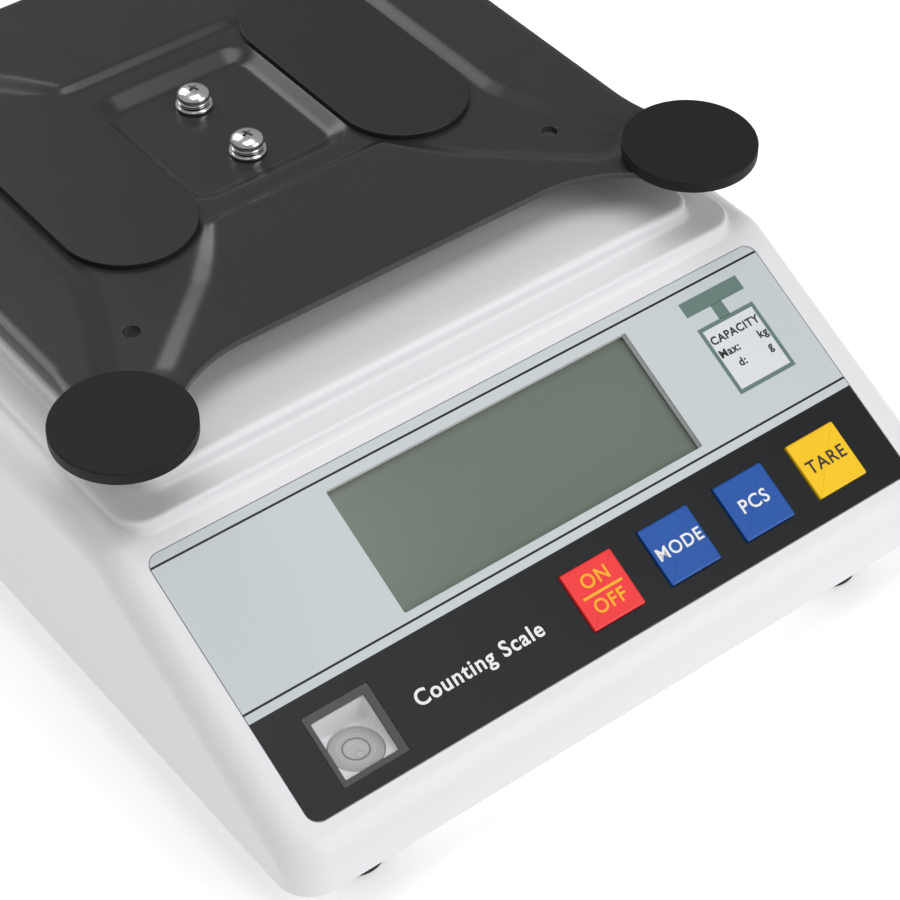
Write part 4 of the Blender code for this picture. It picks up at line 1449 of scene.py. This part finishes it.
def dress_inside():
    """Finishes for the CAD nodes that keep their own shapes."""
    looks = {
        "base_plate": base_moulding,
        "main_board": solder_mask,
        "key_board": solder_mask,
        "lcd_holder": base_moulding,
        "load_cell": milled_aluminium,
        "load_pillar": milled_aluminium,
        "cell_spacer": milled_aluminium,
        "load_cell_lead": lead_jacket,
        "buzzer": black_moulding,
        "power_socket": black_moulding,
        "battery_box": black_moulding,
    }
    for key in KEYS:
        looks[key + "_switch"] = black_moulding
    for i in range(1, 5):
        looks[f"battery_cell_{i}"] = battery_sleeve
    for corner in CORNERS:
        looks["housing_screw_" + corner] = zinc
    for end in ENDS:
        looks["cell_screw_" + end] = zinc
    for name, finish in looks.items():
        piece = frame["nodes"][name]
        piece.data.materials.clear()
        piece.data.materials.append(finish())


# ---------------------------------------------------------------- stage


CAMERA = (-339.68, -508.09, 572.34)
CAMERA_AZIMUTH = -37.77
CAMERA_ELEVATION = 43.57
LENS = 110.884
LIGHTS = (
    ("overhead", (0.0, -0.2, 1.3), (1.0, 0.7), 5.5, (0, 0, 0.08)),
    ("front_key", (0.55, -1.15, 0.9), (0.8, 0.8), 7.5, (0, -0.05, 0.05)),
    ("back_light", (-0.1, 1.05, 0.9), (0.6, 0.9), 5.0, (0, 0.05, 0.09)),
)


def area_light(name, place, size, power, aim):
    lamp = bpy.data.lights.new(name, "AREA")
    lamp.shape = "RECTANGLE"
    lamp.size, lamp.size_y = size
    lamp.energy = power
    holder = bpy.data.objects.new(name, lamp)
    bpy.context.scene.collection.objects.link(holder)
    holder.location = place
    holder.rotation_euler = (Vector(place) - Vector(aim)).to_track_quat("Z", "Y").to_euler()


def build_stage():
    scene = bpy.context.scene
    lens = bpy.data.cameras.new("camera")
    lens.lens = LENS
    lens.sensor_width = 36.0
    lens.clip_start = 0.01
    camera = bpy.data.objects.new("camera", lens)
    scene.collection.objects.link(camera)
    camera.location = Vector(CAMERA) * MM
    turn, lift = math.radians(CAMERA_AZIMUTH), math.radians(CAMERA_ELEVATION)
    back = Vector(
        (math.sin(turn) * math.cos(lift), -math.cos(turn) * math.cos(lift), math.sin(lift))
    )
    camera.rotation_euler = back.to_track_quat("Z", "Y").to_euler()
    scene.camera = camera
    clear()
    bpy.ops.mesh.primitive_plane_add(size=8, location=(0, 0, -0.0005))
    floor = start("floor")
    made, _, shader = blank("pale_floor", Roughness=0.9, Emission_Strength=0.36)
    shader.inputs["Base Color"].default_value = (0.88, 0.88, 0.89, 1)
    shader.inputs["Emission Color"].default_value = (1, 1, 1, 1)
    floor.data.materials.append(made)
    world = bpy.data.worlds.new("studio")
    world.use_nodes = True
    world.node_tree.nodes["Background"].inputs["Color"].default_value = (1, 1, 1, 1)
    world.node_tree.nodes["Background"].inputs["Strength"].default_value = 0.33
    scene.world = world
    scene.view_settings.view_transform = "Standard"
    for lamp in LIGHTS:
        area_light(*lamp)


# ---------------------------------------------------------------- operators and panel


class SCALE_OT_stage(bpy.types.Operator):
    """Adds the camera, the pale floor and the soft light"""

    bl_idname = "scale.stage"
    bl_label = "Stage"

    def execute(self, context):
        build_stage()
        return {"FINISHED"}


class SCALE_OT_housing(bpy.types.Operator):
    """Models the moulded housing with its steps, recess and openings"""

    bl_idname = "scale.housing"
    bl_label = "Housing"

    def execute(self, context):
        build_housing(context.scene.scale_sizes)
        return {"FINISHED"}


class SCALE_OT_overlay(bpy.types.Operator):
    """Lays the printed film on the panel, with its caption and capacity symbol"""

    bl_idname = "scale.overlay"
    bl_label = "Panel overlay"

    def execute(self, context):
        build_overlay()
        return {"FINISHED"}


class SCALE_OT_keys(bpy.types.Operator):
    """Models the four key caps and their legends"""

    bl_idname = "scale.keys"
    bl_label = "Keys"

    def execute(self, context):
        build_keys(context.scene.scale_sizes)
        return {"FINISHED"}


class SCALE_OT_display(bpy.types.Operator):
    """Models the display's glass"""

    bl_idname = "scale.display"
    bl_label = "Display"

    def execute(self, context):
        build_display()
        return {"FINISHED"}


class SCALE_OT_level(bpy.types.Operator):
    """Models the bubble level in its white well under a bordered window"""

    bl_idname = "scale.level"
    bl_label = "Bubble level"

    def execute(self, context):
        build_level()
        return {"FINISHED"}


class SCALE_OT_pan_support(bpy.types.Operator):
    """Presses the pan support's sheet"""

    bl_idname = "scale.pan_support"
    bl_label = "Pan support"

    def execute(self, context):
        build_pan_support(context.scene.scale_sizes)
        return {"FINISHED"}


class SCALE_OT_rubbers(bpy.types.Operator):
    """Models the rubber discs and pads on the pan support"""

    bl_idname = "scale.rubbers"
    bl_label = "Discs and pads"

    def execute(self, context):
        build_rubbers(context.scene.scale_sizes)
        return {"FINISHED"}


class SCALE_OT_pan_screws(bpy.types.Operator):
    """Models the two cross-head screws with their spring and flat washers"""

    bl_idname = "scale.pan_screws"
    bl_label = "Pan screws"

    def execute(self, context):
        build_pan_screws()
        return {"FINISHED"}


class SCALE_OT_feet(bpy.types.Operator):
    """Models the fluted knobs and ribbed soles of the four feet"""

    bl_idname = "scale.feet"
    bl_label = "Feet"

    def execute(self, context):
        build_feet(context.scene.scale_sizes)
        return {"FINISHED"}


class SCALE_OT_underside(bpy.types.Operator):
    """Models the battery door and finishes what keeps its CAD shape"""

    bl_idname = "scale.underside"
    bl_label = "Underside and inside"

    def execute(self, context):
        build_door()
        dress_inside()
        return {"FINISHED"}


class SCALE_PT_panel(bpy.types.Panel):
    """Lists the sizes, the colours and the steps"""

    bl_idname = "SCALE_PT_panel"
    bl_label = "Counting scale"
    bl_space_type = "VIEW_3D"
    bl_region_type = "UI"
    bl_category = "Counting scale"

    def draw(self, context):
        for group in (context.scene.scale_sizes, context.scene.scale_colours):
            box = self.layout.box()
            for name in group.__annotations__:
                box.prop(group, name)
        for step in STEPS:
            self.layout.operator(step.bl_idname)


STEPS = (
    SCALE_OT_stage,
    SCALE_OT_housing,
    SCALE_OT_overlay,
    SCALE_OT_keys,
    SCALE_OT_display,
    SCALE_OT_level,
    SCALE_OT_pan_support,
    SCALE_OT_rubbers,
    SCALE_OT_pan_screws,
    SCALE_OT_feet,
    SCALE_OT_underside,
)
CLASSES = (ScaleSizes, ScaleColours, *STEPS, SCALE_PT_panel)


def register():
    for item in CLASSES:
        bpy.utils.register_class(item)
    bpy.types.Scene.scale_sizes = bpy.props.PointerProperty(type=ScaleSizes)
    bpy.types.Scene.scale_colours = bpy.props.PointerProperty(type=ScaleColours)


def unregister():
    del bpy.types.Scene.scale_colours
    del bpy.types.Scene.scale_sizes
    for item in reversed(CLASSES):
        bpy.utils.unregister_class(item)


def main():
    register()
    for step in STEPS:
        area, name = step.bl_idname.split(".")
        getattr(getattr(bpy.ops, area), name)()


if __name__ == "__main__":
    main()
